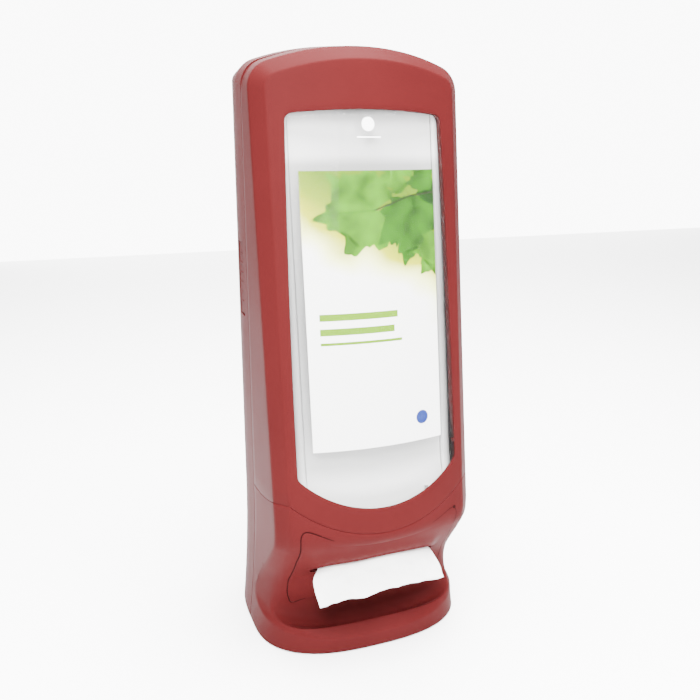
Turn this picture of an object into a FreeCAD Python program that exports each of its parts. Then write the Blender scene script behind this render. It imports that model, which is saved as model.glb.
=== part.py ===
"""Tall counter-top napkin dispenser: a tower with a lift-off window cover, a tray and a napkin mouth.

Frame: millimetres, +X to the object's left-to-right width, -Y towards the user, +Z up.
The origin is on the floor, in the middle of the overall box. The plane y = 0 is the joint
between the rear housing and the two front shells.
"""
import FreeCAD, Part
import math
import os

from FreeCAD import Placement, Rotation, Vector

os.makedirs("parts", exist_ok=True)
doc = FreeCAD.newDocument("napkin_dispenser")
sheet = doc.addObject("Spreadsheet::Sheet", "Sizes")

SIZES = {
    # the outer form
    "bodyHalf": 108.0,       # half the width of the tower above the flare
    "baseHalf": 117.5,       # half the width at the floor
    "flareTop": 160.0,       # the sides start to flare below this height
    "frontApex": 610.0,      # top of the cover's front edge
    "topRise": 0.1,          # the top surface rises by this much for each mm towards the back
    "topRadius": 282.0,      # radius of the top arch
    "cornerRadius": 26.0,    # radius of the arch's corners
    "lean": 0.134,           # the front leans back by this much for each mm of height
    "sideDepth": 64.5,       # depth of the side wall at the reference height
    "leanRef": 297.0,        # the reference height
    "bevelWide": 12.4,       # bevel, across
    "bevelDeep": 14.25,      # bevel, front to back
    "faceRadius": 313.7,     # bulge of the front face
    "backFloor": 114.6,      # the back wall's place at the floor
    "backTop": 96.0,         # and at the top
    "wall": 3.0,
    "seamGap": 1.0,
    "underside": 1.2,        # the shells end this far above the floor
    # the joint between cover and lower housing
    "seamDip": 141.8,
    "seamRise": 35.7,
    "seamRear": 163.0,
    # waist, base and tray
    "waistDeep": 14.5,
    "baseFront": 99.3,
    "bandHigh": 17.0,
    "rimHigh": 26.5,
    "rimWide": 11.5,
    "trayFloor": 13.5,
    "plateThick": 3.0,
    "footHigh": 2.0,
    "footRadius": 9.0,
    # window, card and backing panel
    "windowTop": 547.8,
    "windowTopHalf": 79.4,
    "windowArchRise": 4.7,
    "windowLow": 203.1,
    "windowLowHalf": 86.2,
    "windowSag": 35.8,
    "lensInset": 1.5,
    "lensThick": 1.6,
    "lensLap": 6.0,
    "cardHalf": 69.5,
    "cardLow": 229.1,
    "cardTop": 496.6,
    "cardThick": 0.5,
    "panelSetback": 16.9,
    "panelHalf": 71.0,
    "panelThick": 2.0,
    # napkins and magazine
    "packWide": 165.0,
    "packDeep": 108.0,
    "packHigh": 77.5,
    "packCount": 5.0,
    "stackLow": 126.0,
    "stackFront": 88.0,      # distance of the stack's lower front edge in front of y = 0
    "channelWall": 1.5,
    "channelGap": 0.8,
    # mouth
    "slotHalf": 70.0,
    "slotHigh": 8.0,
    "slotLevel": 92.0,
    "mouthGap": 0.5,
    # latches, hooks and lock
    "buttonLow": 347.0,
    "buttonHigh": 76.0,
    "buttonFront": 15.0,
    "buttonDeep": 22.0,
    "buttonTravel": 4.0,
    "hookDrop": 28.0,
    "lockAcross": 83.0,
    "lockLevel": 149.0,
    "lockRadius": 6.0,
    "camReach": 22.0,
}
for row, (alias, number) in enumerate(SIZES.items(), start=1):
    sheet.set(f"A{row}", alias)
    sheet.set(f"B{row}", str(number))
    sheet.setAlias(f"B{row}", alias)
doc.recompute()

nodes = {}


def size(alias):
    """A driving dimension, read from the sheet."""
    return float(sheet.get(alias))


def bound(text):
    """Turn plain sheet names in an expression into references to the sheet."""
    words = sorted(SIZES, key=len, reverse=True)
    for word in words:
        text = text.replace(word, "<<" + str(words.index(word)) + ">>")
    for place, word in enumerate(words):
        text = text.replace("<<" + str(place) + ">>", "Sizes." + word)
    return text


def bind(thing, **expressions):
    for name, text in expressions.items():
        thing.setExpression(name, bound(text))
    return thing


def place(thing, x="0", y="0", z="0"):
    for axis, text in (("x", x), ("y", y), ("z", z)):
        thing.setExpression(".Placement.Base." + axis, bound(text))
    return thing


def box(name, wide, deep, high, x, y, z):
    """A box by its size and its lowest corner."""
    thing = doc.addObject("Part::Box", name)
    bind(thing, Length=wide, Width=deep, Height=high)
    return place(thing, x, y, z)


def rod(name, radius, length, x, y, z, axis="z"):
    """A cylinder from its first end, along z, y or x."""
    thing = doc.addObject("Part::Cylinder", name)
    turn = {"z": Rotation(), "y": Rotation(Vector(1, 0, 0), -90), "x": Rotation(Vector(0, 1, 0), 90)}
    thing.Placement = Placement(Vector(), turn[axis])
    bind(thing, Radius=radius, Height=length)
    return place(thing, x, y, z)


def fuse(name, *things):
    thing = doc.addObject("Part::MultiFuse", name)
    thing.Shapes = list(things)
    return thing


def cut(name, base, *tools):
    thing = doc.addObject("Part::Cut", name)
    thing.Base = base
    thing.Tool = tools[0] if len(tools) == 1 else fuse(name + "_tools", *tools)
    return thing


def group(name, *things):
    """Several separate solids of one kind in one node."""
    thing = doc.addObject("Part::Compound", name)
    thing.Links = list(things)
    return thing


def formed(name, shape):
    """A sub-part whose curved shape is made by Part's own functions."""
    thing = doc.addObject("Part::Feature", name)
    thing.Shape = shape
    return thing


def node(label, thing):
    thing.Label = label
    nodes[label] = thing
    return thing


# ---------------------------------------------------------------- geometry of the outer form

BODY = size("bodyHalf")
BASE = size("baseHalf")
FLARE = size("flareTop")
LEAN = size("lean")
BEVEL_X = size("bevelWide")
BEVEL_Y = size("bevelDeep")
FACE_R = size("faceRadius")
EDGE = BODY - BEVEL_X
WALL = size("wall")
HALF_GAP = size("seamGap") / 2
HIGH = 660.0             # above the whole object
FAR = 150.0              # in front of or behind the whole object


def vec(x, y, z):
    return Vector(x, y, z)


def polygon(points):
    return Part.makePolygon(points + [points[0]])


def arc(first, middle, last):
    return Part.Arc(first, middle, last).toShape()


def line(first, last):
    return Part.LineSegment(first, last).toShape()


def prism(wire, direction):
    return Part.Face(wire).extrude(direction)


def half_width(z):
    """Half the width at a height: straight above, and an arc that flares to the floor."""
    flare = BASE - BODY
    radius = (FLARE ** 2 + flare ** 2) / (2 * flare)
    if z >= FLARE:
        return BODY
    return BODY + radius - math.sqrt(radius ** 2 - (FLARE - z) ** 2)


def lean_y(z):
    """Where the side wall meets the bevel, on the straight part of the front."""
    return -size("sideDepth") + LEAN * (z - size("leanRef"))


BROW_SLOPE = 0.87        # below the brow the front runs back this much for each mm down
BROW_RADIUS = 30.0
WAIST_RADIUS = 45.0
BROW_Z = 134.7           # the lean line and the slope meet here
BROW_Y = lean_y(BROW_Z)
WAIST_Y = -size("waistDeep")
WAIST_Z = BROW_Z - (WAIST_Y - BROW_Y) / BROW_SLOPE


def side_path():
    """The side wall's front edge: lean line, brow arc, slope, waist arc, upright."""
    start, brow = vec(0, lean_y(HIGH), HIGH), vec(0, BROW_Y, BROW_Z)
    waist, floor = vec(0, WAIST_Y, WAIST_Z), vec(0, WAIST_Y, 0)
    edges = []
    for corner, radius, after in ((brow, BROW_RADIUS, waist), (waist, WAIST_RADIUS, floor)):
        into = (corner - start).normalize()
        out = (after - corner).normalize()
        turn = into.getAngle(out)
        reach = radius * math.tan(turn / 2)
        first = corner - into * reach
        last = corner + out * reach
        inward = (out - into).normalize()
        middle = corner + inward * (radius / math.cos(turn / 2) - radius)
        edges += [line(start, first), arc(first, middle, last)]
        start = last
    edges.append(line(start, floor))
    return edges


SIDE_EDGES = side_path()


def side_y(z):
    """The side wall's front edge at a height, from the path."""
    for edge in SIDE_EDGES:
        ends = sorted(vertex.Point.z for vertex in edge.Vertexes)
        if ends[0] - 1e-6 <= z <= ends[1] + 1e-6:
            level = line(vec(0, -2 * FAR, z), vec(0, 2 * FAR, z))
            return edge.distToShape(level)[1][0][0].y
    return lean_y(z)


def offset_y(z, reach):
    """The side wall's front edge, moved inward by a distance at right angles to it."""
    if reach == 0:
        return side_y(z)
    steps = [reach * part / 6 for part in range(-6, 7)]
    return max(side_y(z + step) + math.sqrt(reach ** 2 - step ** 2) for step in steps)


def front_section(z, inset=0.0, rear=-HALF_GAP, forward=0.0):
    """Level outline of the front shells: rear line, sides, bevels and the bulging face."""
    wide = half_width(z) - inset
    edge = wide - BEVEL_X + 0.53 * inset
    side = offset_y(z, 0.375 * inset) - forward
    face = offset_y(z, inset) - BEVEL_Y - forward
    bulge = FACE_R - math.sqrt(FACE_R ** 2 - edge ** 2)
    corners = [vec(edge, face, z), vec(wide, side, z), vec(wide, rear, z), vec(-wide, rear, z),
               vec(-wide, side, z), vec(-edge, face, z)]
    edges = [arc(corners[5], vec(0, face - bulge, z), corners[0])]
    edges += [line(a, b) for a, b in zip(corners, corners[1:])]
    return Part.Wire(edges)


def arch_wire(y, inset=0.0, spread=0.0):
    """The tower's outline from the front: sides, rounded corners and the top arch.

    A spread leaves room for the flare at the foot of the tower.
    """
    rise = size("topRise") * (y - lean_y(size("frontApex")) + BEVEL_Y)
    apex = size("frontApex") + rise - inset
    top_r = size("topRadius") - inset
    corner_r = size("cornerRadius") - inset
    wide = BODY - inset
    centre = vec(0, y, apex - top_r)
    corner_x = wide - corner_r
    lift = math.sqrt((top_r - corner_r) ** 2 - corner_x ** 2)
    corner = vec(corner_x, y, centre.z + lift)
    reach = (corner - centre).normalize()
    meet = corner + reach * corner_r
    diagonal = (reach + vec(1, 0, 0)).normalize()
    bend = corner + diagonal * corner_r
    flip = lambda point: vec(-point.x, point.y, point.z)
    side_top = vec(wide, y, corner.z)
    edges = [arc(flip(side_top), flip(bend), flip(meet)), arc(flip(meet), vec(0, y, apex), meet),
             arc(meet, bend, side_top)]
    corners = [side_top, vec(wide + spread, y, -60)]
    if spread:
        corners[1:1] = [vec(wide, y, FLARE + 40), vec(wide + spread, y, FLARE + 40)]
    corners += [flip(point) for point in reversed(corners)]
    edges += [line(a, b) for a, b in zip(corners, corners[1:])]
    return Part.Wire(edges)


def arch_prism(y_from, y_to, inset=0.0, spread=0.0):
    """The outline carried from front to back; its top rises towards the back."""
    run = y_to - y_from
    return prism(arch_wire(y_from, inset, spread), vec(0, run, size("topRise") * run))


def lean_slab(near, deep):
    """Everything between two copies of the bulging face, at two depths behind it, up the lean."""
    edge = EDGE + 40
    def curve(setback):
        face = lean_y(0) - BEVEL_Y + setback
        bulge = FACE_R - math.sqrt(FACE_R ** 2 - EDGE ** 2)
        back = FACE_R - math.sqrt(FACE_R ** 2 - edge ** 2) - bulge
        return vec(-edge, face + back, 0), vec(0, face - bulge, 0), vec(edge, face + back, 0)
    a = curve(near)
    b = curve(deep)
    wire = Part.Wire([arc(*a), line(a[2], b[2]), arc(b[2], b[1], b[0]), line(b[0], a[0])])
    return prism(wire, vec(0, LEAN * HIGH, HIGH))


def seam_above(gap):
    """Everything above the joint between the cover and the lower housing."""
    edge = EDGE
    low = size("seamDip") + gap
    top = low + size("seamRise")
    third = edge * 0.55
    rise = lambda x: low + size("seamRise") * (0.86 * (x / edge) ** 2 + 0.14 * (x / edge) ** 4)
    points = [vec(x, -FAR, rise(x)) for x in (-edge, -third, 0, third, edge)]
    curve = Part.BSplineCurve()
    curve.interpolate(points)
    rim = [points[-1], vec(FAR, -FAR, top), vec(FAR, -FAR, 700), vec(-FAR, -FAR, 700), vec(-FAR, -FAR, top)]
    rim.append(points[0])
    front = Part.Wire([curve.toShape()] + [line(a, b) for a, b in zip(rim, rim[1:])])
    front = prism(front, vec(0, FAR + 10, 0))
    rear = size("seamRear") + gap
    reach = -lean_y(top)
    low_side = vec(-FAR, -reach, top)
    half_way = vec(-FAR, -reach / 2, rear + (top - rear) / 4)
    rim = [vec(-FAR, 0, rear), vec(-FAR, 10, rear), vec(-FAR, 10, 700), vec(-FAR, -reach, 700), low_side]
    side = Part.Wire([arc(low_side, half_way, rim[0])] + [line(a, b) for a, b in zip(rim, rim[1:])])
    side = prism(side, vec(2 * FAR, 0, 0))
    middle = Part.makeBox(2 * (BODY - 2 * WALL), FAR, 700, vec(-BODY + 2 * WALL, -FAR / 2, 0))
    return front.fuse(side.cut(middle))


def window_prism(grow=0.0):
    """The window's outline from the front, carried straight back."""
    top_half = size("windowTopHalf") + grow
    low_half = size("windowLowHalf") + grow
    top = size("windowTop") + grow
    low = size("windowLow") - 0.4 * grow
    y = -FAR
    a, b = vec(-top_half, y, top), vec(top_half, y, top)
    c, d = vec(low_half, y, low), vec(-low_half, y, low)
    bow = 1.6
    edges = [arc(a, vec(0, y, top + size("windowArchRise")), b),
             arc(b, vec((top_half + low_half) / 2 + bow, y, (top + low) / 2), c),
             arc(c, vec(0, y, low - size("windowSag") - 0.6 * grow), d),
             arc(d, vec(-(top_half + low_half) / 2 - bow, y, (top + low) / 2), a)]
    solid = prism(Part.Wire(edges), vec(0, 2 * FAR, 0))
    upright = [e for e in solid.Edges if abs(abs(e.tangentAt(e.FirstParameter).y) - 1) < 1e-6]
    upper = [e for e in upright if e.CenterOfMass.z > size("windowLow") + 50]
    return solid.makeFillet(5.0 + 0.5 * grow, upper)


# ---------------------------------------------------------------- the curved shells

def cover_form(inset):
    """The cover's outer or inner form, bevelled all round the front."""
    block = arch_prism(-FAR, -HALF_GAP + (5 if inset else 0), inset).common(lean_slab(inset, inset + 400))
    front = []
    for edge in block.Edges:
        middle = edge.CenterOfMass
        if middle.y < lean_y(middle.z) + inset - 1 and middle.z > 0 and edge.BoundBox.ZMax > 100:
            front.append(edge)
    return block.makeChamfer(BEVEL_Y, BEVEL_X, front)


def front_cover():
    above = seam_above(HALF_GAP)
    shell = cover_form(0.0).cut(cover_form(WALL)).common(above)
    ledge = size("lensInset")
    recess = window_prism(size("lensLap") + 0.3).common(lean_slab(ledge, ledge + 20))
    return shell.cut(window_prism()).cut(recess)


def behind_face(setback, thick, outline):
    """A sheet that follows the bulging face, some way behind it, cut to an outline."""
    return lean_slab(setback, setback + thick).common(outline)


def lower_form(inset, forward=0.0, top=186.0, low=0.0):
    """The lower front's outer or inner form, from level sections."""
    rear = -HALF_GAP + (6 if inset else 0)
    step = 7.0
    levels = [low] + [14 + step * turn for turn in range(20)] + [top]
    sections = [front_section(z, inset, rear, forward) for z in levels]
    return Part.makeLoft(sections, True, True)


BASE_MID = 16.0          # the base's sides are straight this far forward of y = 0
BASE_STEP = 0.25         # and stand this much inside the tower's
BASE_STEPS = 20
BASE_POWER = 2 / 2.6     # its corners are squarer than an ellipse's


def base_wire(z, inset):
    """The base's outline at a level: straight sides, then half of a rounded oblong."""
    wide = half_width(z) - BASE_STEP - inset
    deep = size("baseFront") - BASE_MID - inset
    points = []
    for turn in range(BASE_STEPS + 1):
        angle = math.pi * turn / BASE_STEPS
        across = math.copysign(abs(math.cos(angle)) ** BASE_POWER, math.cos(angle))
        points.append(vec(wide * across, -BASE_MID - deep * math.sin(angle) ** BASE_POWER, z))
    ahead = vec(0, -1, 0)
    curve = Part.BSplineCurve()
    curve.interpolate(Points=points, InitialTangent=ahead, FinalTangent=ahead * -1)
    a, b = vec(wide, -HALF_GAP, z), vec(-wide, -HALF_GAP, z)
    return Part.Wire([line(a, points[0]), curve.toShape(), line(points[-1], b), line(b, a)])


def base_form(inset):
    """The base: an upright band and a rim that slopes up to the tray."""
    low = 0.0
    band = size("bandHigh") - 0.4 * inset
    rim = size("rimHigh") - inset
    block = Part.makeLoft([base_wire(low, inset), base_wire(band, inset)], True, True)
    slope = Part.makeLoft([base_wire(band, inset), base_wire(rim, inset + size("rimWide"))], True, True)
    return block.fuse(slope)


def tray_bowl(grow):
    """The hollow of the tray."""
    floor = size("trayFloor") - grow
    rim = size("rimHigh")
    inner = size("rimWide") - grow
    return Part.makeLoft([base_wire(floor, inner + 9), base_wire(rim + 0.01, inner - 1)], True, True)


def mouth_prism(grow=0.0):
    """The mouth plate's outline from the front."""
    y = -FAR
    top, waist, low = 131.0 + grow, 92.0, 49.0 - grow
    points = [vec(70 + grow, y, top), vec(80 + grow, y, waist), vec(88.5 + grow, y, waist - 18)]
    points.append(vec(88.5 + grow, y, low))
    points += [vec(-p.x, y, p.z) for p in reversed(points)]
    solid = prism(polygon(points), vec(0, FAR - 20, 0))
    corners = [e for e in solid.Edges if e.BoundBox.YLength > 50]
    return solid.makeFillet(5.0, corners)


def slot_prism():
    half, high = size("slotHalf"), size("slotHigh")
    block = Part.makeBox(2 * half, FAR - 20, high, vec(-half, -FAR, size("slotLevel") - high / 2))
    return block.makeFillet(high / 2 - 0.01, [e for e in block.Edges if e.BoundBox.YLength > 50])


BOSS_X = 60.0            # the base plate's screws, across
BOSS_FRONT = -62.0       # and front to back
BOSS_REAR = 90.0


def lower_shells():
    """The lower housing and the mouth plate that fills its opening."""
    below = Part.makeBox(4 * FAR, 2 * FAR, 250, vec(-2 * FAR, -2 * FAR + 1, size("underside")))
    below = below.cut(seam_above(-HALF_GAP))
    outer = lower_form(0.0)
    inner = lower_form(WALL, low=-5.0, top=200.0)
    base = base_form(0.0).cut(tray_bowl(0.0))
    cavity = base_form(WALL).cut(tray_bowl(WALL + 0.5))
    housing = outer.fuse(base).cut(inner).cut(cavity).common(below)
    raised = 0.8
    plate = lower_form(0.0, forward=raised).cut(lower_form(WALL, forward=raised, low=-5.0, top=200.0))
    plate = plate.common(mouth_prism(0.0)).cut(slot_prism())
    ahead = Part.makeBox(300, 115, 200, vec(-150, -130, 0))
    housing = housing.cut(mouth_prism(size("mouthGap")).common(ahead))
    key_hole = Part.makeCylinder(1.6, 60, vec(size("lockAcross"), -130, size("lockLevel")), vec(0, 1, 0))
    for x in (-BOSS_X, BOSS_X):
        boss = Part.makeCylinder(5.0, 6.5, vec(x, BOSS_FRONT, size("footHigh") + size("plateThick") + 0.2))
        hole = Part.makeCylinder(1.9, 5.0, vec(x, BOSS_FRONT, size("footHigh") + size("plateThick")))
        housing = housing.fuse(boss).cut(hole)
    return housing.cut(key_hole), plate


def back_y(z):
    return size("backFloor") + (size("backTop") - size("backFloor")) * z / size("frontApex")


REAR_START = 1.0         # the sides run straight this far behind y = 0
REAR_STEPS = 28
REAR_POWER_FLOOR = 2.6   # the rear corners are rounder at the floor
REAR_POWER_TOP = 3.6     # and squarer up the tower


def rear_section(z, inset=0.0, front=HALF_GAP):
    """Level outline of the rear housing: a straight front, then sides and back in one curve."""
    wide = half_width(z) - inset
    deep = back_y(z) - inset - REAR_START
    power = 2 / min(REAR_POWER_TOP, REAR_POWER_FLOOR + max(z, 0) / 300)
    points = []
    for step in range(REAR_STEPS + 1):
        angle = math.pi * step / REAR_STEPS
        across = math.cos(angle)
        x = wide * math.copysign(abs(across) ** power, across)
        points.append(vec(x, REAR_START + deep * abs(math.sin(angle)) ** power, z))
    points[0] = vec(wide, REAR_START, z)
    points[-1] = vec(-wide, REAR_START, z)
    curve = Part.BSplineCurve()
    curve.interpolate(points)
    a, b = vec(wide, front, z), vec(-wide, front, z)
    return Part.Wire([line(b, a), line(a, points[0]), curve.toShape(), line(points[-1], b)])


def rear_form(inset=0.0, low=0.0):
    front = HALF_GAP - (6 if inset else 0)
    lower = Part.makeLoft([rear_section(z, inset, front) for z in (low, 40, 80, 120, FLARE)], True, False)
    upper = Part.makeLoft([rear_section(z, inset, front) for z in (FLARE, HIGH)], True, True)
    crest = 24.0
    spread = 30.0
    fall = vec(0, FAR, -0.16 * FAR)
    top = arch_prism(-10, crest, inset, spread).fuse(prism(arch_wire(crest, inset, spread), fall))
    block = lower.fuse(upper).common(top)
    crown = [edge for edge in block.Edges if edge.CenterOfMass.z > 560 and edge.CenterOfMass.y > 60]
    return block.makeFillet(12.0 - inset, crown)


def button_window(side, grow=0.0):
    """The opening for a side button, through the rear housing's side wall."""
    deep, high = size("buttonDeep") + 2 * grow, size("buttonHigh") + 2 * grow
    low = size("buttonLow") - grow
    first = 95.0 if side > 0 else -120.0
    block = Part.makeBox(25, deep, high, vec(first, size("buttonFront") - grow, low))
    return block.makeFillet(3.0, [e for e in block.Edges if e.BoundBox.XLength > 20])


def rear_housing():
    """The rear housing: one shell with an open front, and a rim along its floor."""
    shell = rear_form().cut(rear_form(WALL, low=-5.0))
    under = Part.makeBox(4 * FAR, 4 * FAR, 10, vec(-2 * FAR, -2 * FAR, size("underside") - 10))
    shell = shell.cut(under)
    floor_low = size("footHigh") + size("plateThick") + 0.2
    floor = Part.makeBox(4 * FAR, 2 * FAR, 3, vec(-2 * FAR, HALF_GAP, floor_low)).common(rear_form(1.0))
    opening = Part.makeBox(150, 62, 20, vec(-75, 22, 0))
    shell = shell.fuse(floor.cut(opening))
    for side in (-1, 1):
        shell = shell.cut(button_window(side, 0.6))
    for x in (-BOSS_X, BOSS_X):
        shell = shell.cut(Part.makeCylinder(2.2, 20, vec(x, BOSS_REAR, 0)))
    return shell.removeSplitter()


cover = node("front_cover", formed("FrontCover", front_cover()))
lens_out = size("lensInset") + 0.1
window_out = window_prism(size("lensLap"))
lens = node("window_lens", formed("WindowLens", behind_face(lens_out, size("lensThick"), window_out)))
card_box = Part.makeBox(2 * size("cardHalf"), FAR, size("cardTop") - size("cardLow"),
                        vec(-size("cardHalf"), -FAR, size("cardLow")))
card_back = lens_out + size("lensThick") + 0.1
card = node("ad_card", formed("AdCard", behind_face(card_back, size("cardThick"), card_box)))
housing_shape, mouth_shape = lower_shells()
lower = node("lower_housing", formed("LowerHousing", housing_shape))
mouth = node("mouth_plate", formed("MouthPlate", mouth_shape))
rear = node("rear_housing", formed("RearHousing", rear_housing()))


# ---------------------------------------------------------------- parts that lean with the stack

TILT = math.degrees(math.atan(LEAN))
STACK_FOOT = vec(0, -size("stackFront"), size("stackLow"))
LEANING = Rotation(vec(1, 0, 0), -TILT)


def leaning_box(name, wide, deep, high, x, back, up, foot=STACK_FOOT):
    """A box that leans with the front: x across, so far back, so far up the lean from a foot."""
    thing = doc.addObject("Part::Box", name)
    bind(thing, Length=wide, Width=deep, Height=high)
    thing.Placement = Placement(foot + LEANING.multVec(vec(x, back, up)), LEANING)
    return thing


def face_y(x, z):
    """The front face at a place, on its straight part."""
    bulge = math.sqrt(FACE_R ** 2 - x ** 2) - math.sqrt(FACE_R ** 2 - EDGE ** 2)
    return lean_y(z) - BEVEL_Y - bulge


half_pack = size("packWide") / 2
for number in range(int(size("packCount"))):
    up = number * (size("packHigh") + 0.2)
    pack = leaning_box(f"Pack{number + 1}", "packWide", "packDeep", "packHigh", -half_pack, 0, up)
    node(f"napkin_pack_{number + 1}", pack)
stack_top = size("packCount") * (size("packHigh") + 0.2)

channel_half = half_pack + size("channelGap") + size("channelWall")
channel_high = "435"
outer = leaning_box("ChannelOuter", "packWide + 2 * channelGap + 2 * channelWall",
                    "packDeep + channelGap + channelWall", channel_high, -channel_half, 0, 0)
inner = leaning_box("ChannelInner", "packWide + 2 * channelGap", "packDeep + channelGap + 5", "500",
                    -half_pack - size("channelGap"), -5, -20)
node("magazine_channel", cut("MagazineChannel", outer, inner))

ledge = leaning_box("FloorPlate", "packWide", "packDeep - 28", "2.5", -half_pack, 28, -2.8)
rib = leaning_box("FloorRib", "packWide", "4", "10", -half_pack, 66, -12)
node("magazine_floor", fuse("MagazineFloor", ledge, rib))

follower_foot = STACK_FOOT + LEANING.multVec(vec(0, 0, stack_top + 0.3))
plate = leaning_box("FollowerSheet", "packWide - 2", "packDeep - 4", "2.5", 1 - half_pack, 2, 0,
                    follower_foot)
grip = leaning_box("FollowerGrip", "30", "3", "16", -15, 6, 2.4, follower_foot)
node("follower_plate", fuse("FollowerPlate", plate, grip))
weight = leaning_box("FollowerWeight", "110", "60", "8", -55, 28, 2.6, follower_foot)
node("follower_weight", weight)

channel_deep = size("packDeep") + size("channelGap") + size("channelWall")
for label, up in (("lower", 60.0), ("upper", 330.0)):
    back = STACK_FOOT + LEANING.multVec(vec(0, channel_deep, up))
    inside = back_y(back.z) - WALL
    depth = inside - back.y - 5.0
    bracket = Part.makeBox(80, depth, 3, vec(-40, back.y + 2.5, back.z))
    foot = Part.makeBox(80, 2.5, 16, vec(-40, back.y + depth, back.z))
    node(f"magazine_bracket_{label}", formed("Bracket" + label.title(), bracket.fuse(foot)))

# ---------------------------------------------------------------- card, panel and lens fixings on the cover

panel_top = size("windowTop") + 14
panel_low = size("windowLow") - 4
panel_foot = vec(0, face_y(0, panel_low) + size("panelSetback"), panel_low)
panel_high = (panel_top - panel_low) * math.sqrt(1 + LEAN ** 2)
panel = leaning_box("PanelSheet", "2 * panelHalf", "panelThick", str(panel_high), -size("panelHalf"), 0, 0,
                    panel_foot)
tabs = [leaning_box(f"PanelTab{turn}", "21", "panelThick", "16", side * 80.5 - 10.5, 0, up, panel_foot)
        for turn, (side, up) in enumerate(((-1, 12), (1, 12), (-1, 320), (1, 320)))]
node("backing_panel", fuse("BackingPanel", panel, *tabs))
screws = []
for side in (-1, 1):
    for up in (20, 328):
        seat = panel_foot + LEANING.multVec(vec(side * 88.5, size("panelThick") + 0.1, up))
        head = doc.addObject("Part::Cylinder", f"PanelScrew{len(screws) + 1}")
        bind(head, Radius="2.2", Height="1.8")
        head.Placement = Placement(seat, LEANING.multiply(Rotation(vec(1, 0, 0), -90)))
        screws.append(head)
node("panel_screws", group("PanelScrews", *screws))

clips = []
for side in (-1, 1):
    for z in (275.0, 400.0, 480.0):
        foot = vec(side * 90.5, face_y(89, z) + 4.4, z)
        clips.append(leaning_box(f"LensClip{len(clips) + 1}", "5", "2", "12", -2.5, 0, 0, foot))
node("lens_clips", group("LensClips", *clips))

# ---------------------------------------------------------------- hooks and rails that carry the cover

HOOK_LEVELS = (205.0, 497.0)
hooks, rails = [], {-1: [], 1: []}
for side in (-1, 1):
    for level in HOOK_LEVELS:
        tag = f"{len(hooks) + 1}"
        near = lambda inner, wide: str(inner if side > 0 else -inner - wide)
        pad = box("HookPad" + tag, "7.8", "12", "20", near(97.1, 7.8), "-14", str(level))
        neck = box("HookNeck" + tag, "4", "14", "10", near(97.1, 4), "-6", str(level + 8))
        tongue = box("HookTongue" + tag, "4", "2.4", "28", near(97.1, 4), "5.8", str(level - 10))
        hooks.append(fuse("CoverHook" + tag, pad, neck, tongue))
        strip = box("RailStrip" + tag, "10", "2.2", "100", near(94.5, 10), "2.6", str(level - 25))
        slot = box("RailSlot" + tag, "6", "10", "44", near(96.1, 6), "0", str(level + 6))
        rails[side].append(cut("Rail" + tag, strip, slot))
node("cover_hooks", group("CoverHooks", *hooks))
node("hook_rail_left", group("HookRailLeft", *rails[-1]))
node("hook_rail_right", group("HookRailRight", *rails[1]))

# ---------------------------------------------------------------- side buttons and latches

BUTTON_MID = size("buttonLow") + size("buttonHigh") / 2


def spring_coil(side, x_from, x_to, y, z):
    """A small coil spring that lies across the tower."""
    wire_r, coil_r, turns = 0.45, 3.0, 4
    length = x_to - x_from - 2 * wire_r
    helix = Part.makeHelix(length / turns, length, coil_r)
    ring = Part.Wire(Part.makeCircle(wire_r, vec(coil_r, 0, 0), vec(0, 1, 0)))
    coil = Part.Wire(helix).makePipeShell([ring], True, True)
    coil.Placement = Placement(vec(side * (x_from + wire_r), y, z), Rotation(vec(0, 1, 0), 90 * side))
    return coil


catches = []
for side, word in ((-1, "left"), (1, "right")):
    name = word.title()
    near = lambda inner, wide: str(inner if side > 0 else -inner - wide)
    pad = box("ButtonPad" + name, "3.6", "buttonDeep - 1", "buttonHigh - 1", near(102.8, 3.6),
              "buttonFront + 0.5", "buttonLow + 0.5")
    stem = box("ButtonStem" + name, "9", "8", "12", near(94.0, 9), "24", str(BUTTON_MID - 6))
    ribs = []
    for turn in range(6):
        rib_z = str(BUTTON_MID - 25 + 10 * turn)
        ribs.append(box(f"ButtonRib{name}{turn}", "0.6", "buttonDeep - 6", "1.6", near(106.3, 0.6),
                        "buttonFront + 3", rib_z))
    node(f"release_button_{word}", fuse("Button" + name, pad, stem, *ribs))
    arm = box("HookArm" + name, "3", "37.9", "12", near(94.0, 3), "-14", str(BUTTON_MID - 6))
    riser = box("HookRiser" + name, "3", "10", "6", near(94.0, 3), "-14", str(BUTTON_MID + 5.5))
    nose = box("HookNose" + name, "3.2", "10", "6", near(96.0, 3.2), "-14", str(BUTTON_MID + 5.5))
    node(f"latch_hook_{word}", fuse("LatchHook" + name, arm, riser, nose))
    back = box("LatchBack" + name, "2", "26", "34", near(86.0, 2), "18", str(BUTTON_MID - 17))
    leg = box("LatchLeg" + name, "13", "2.5", "34", near(87.9, 13), "41.5", str(BUTTON_MID - 17))
    node(f"latch_bracket_{word}", fuse("LatchBracket" + name, back, leg))
    coil = spring_coil(side, 88.1, 93.9, 28, BUTTON_MID)
    node(f"latch_spring_{word}", formed("LatchSpring" + name, coil))
    catches.append(box("Catch" + name, "5.4", "8", "7", near(99.5, 5.4), "-13", str(BUTTON_MID - 3)))
node("cover_catches", group("CoverCatches", *catches))

# ---------------------------------------------------------------- key lock

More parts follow.
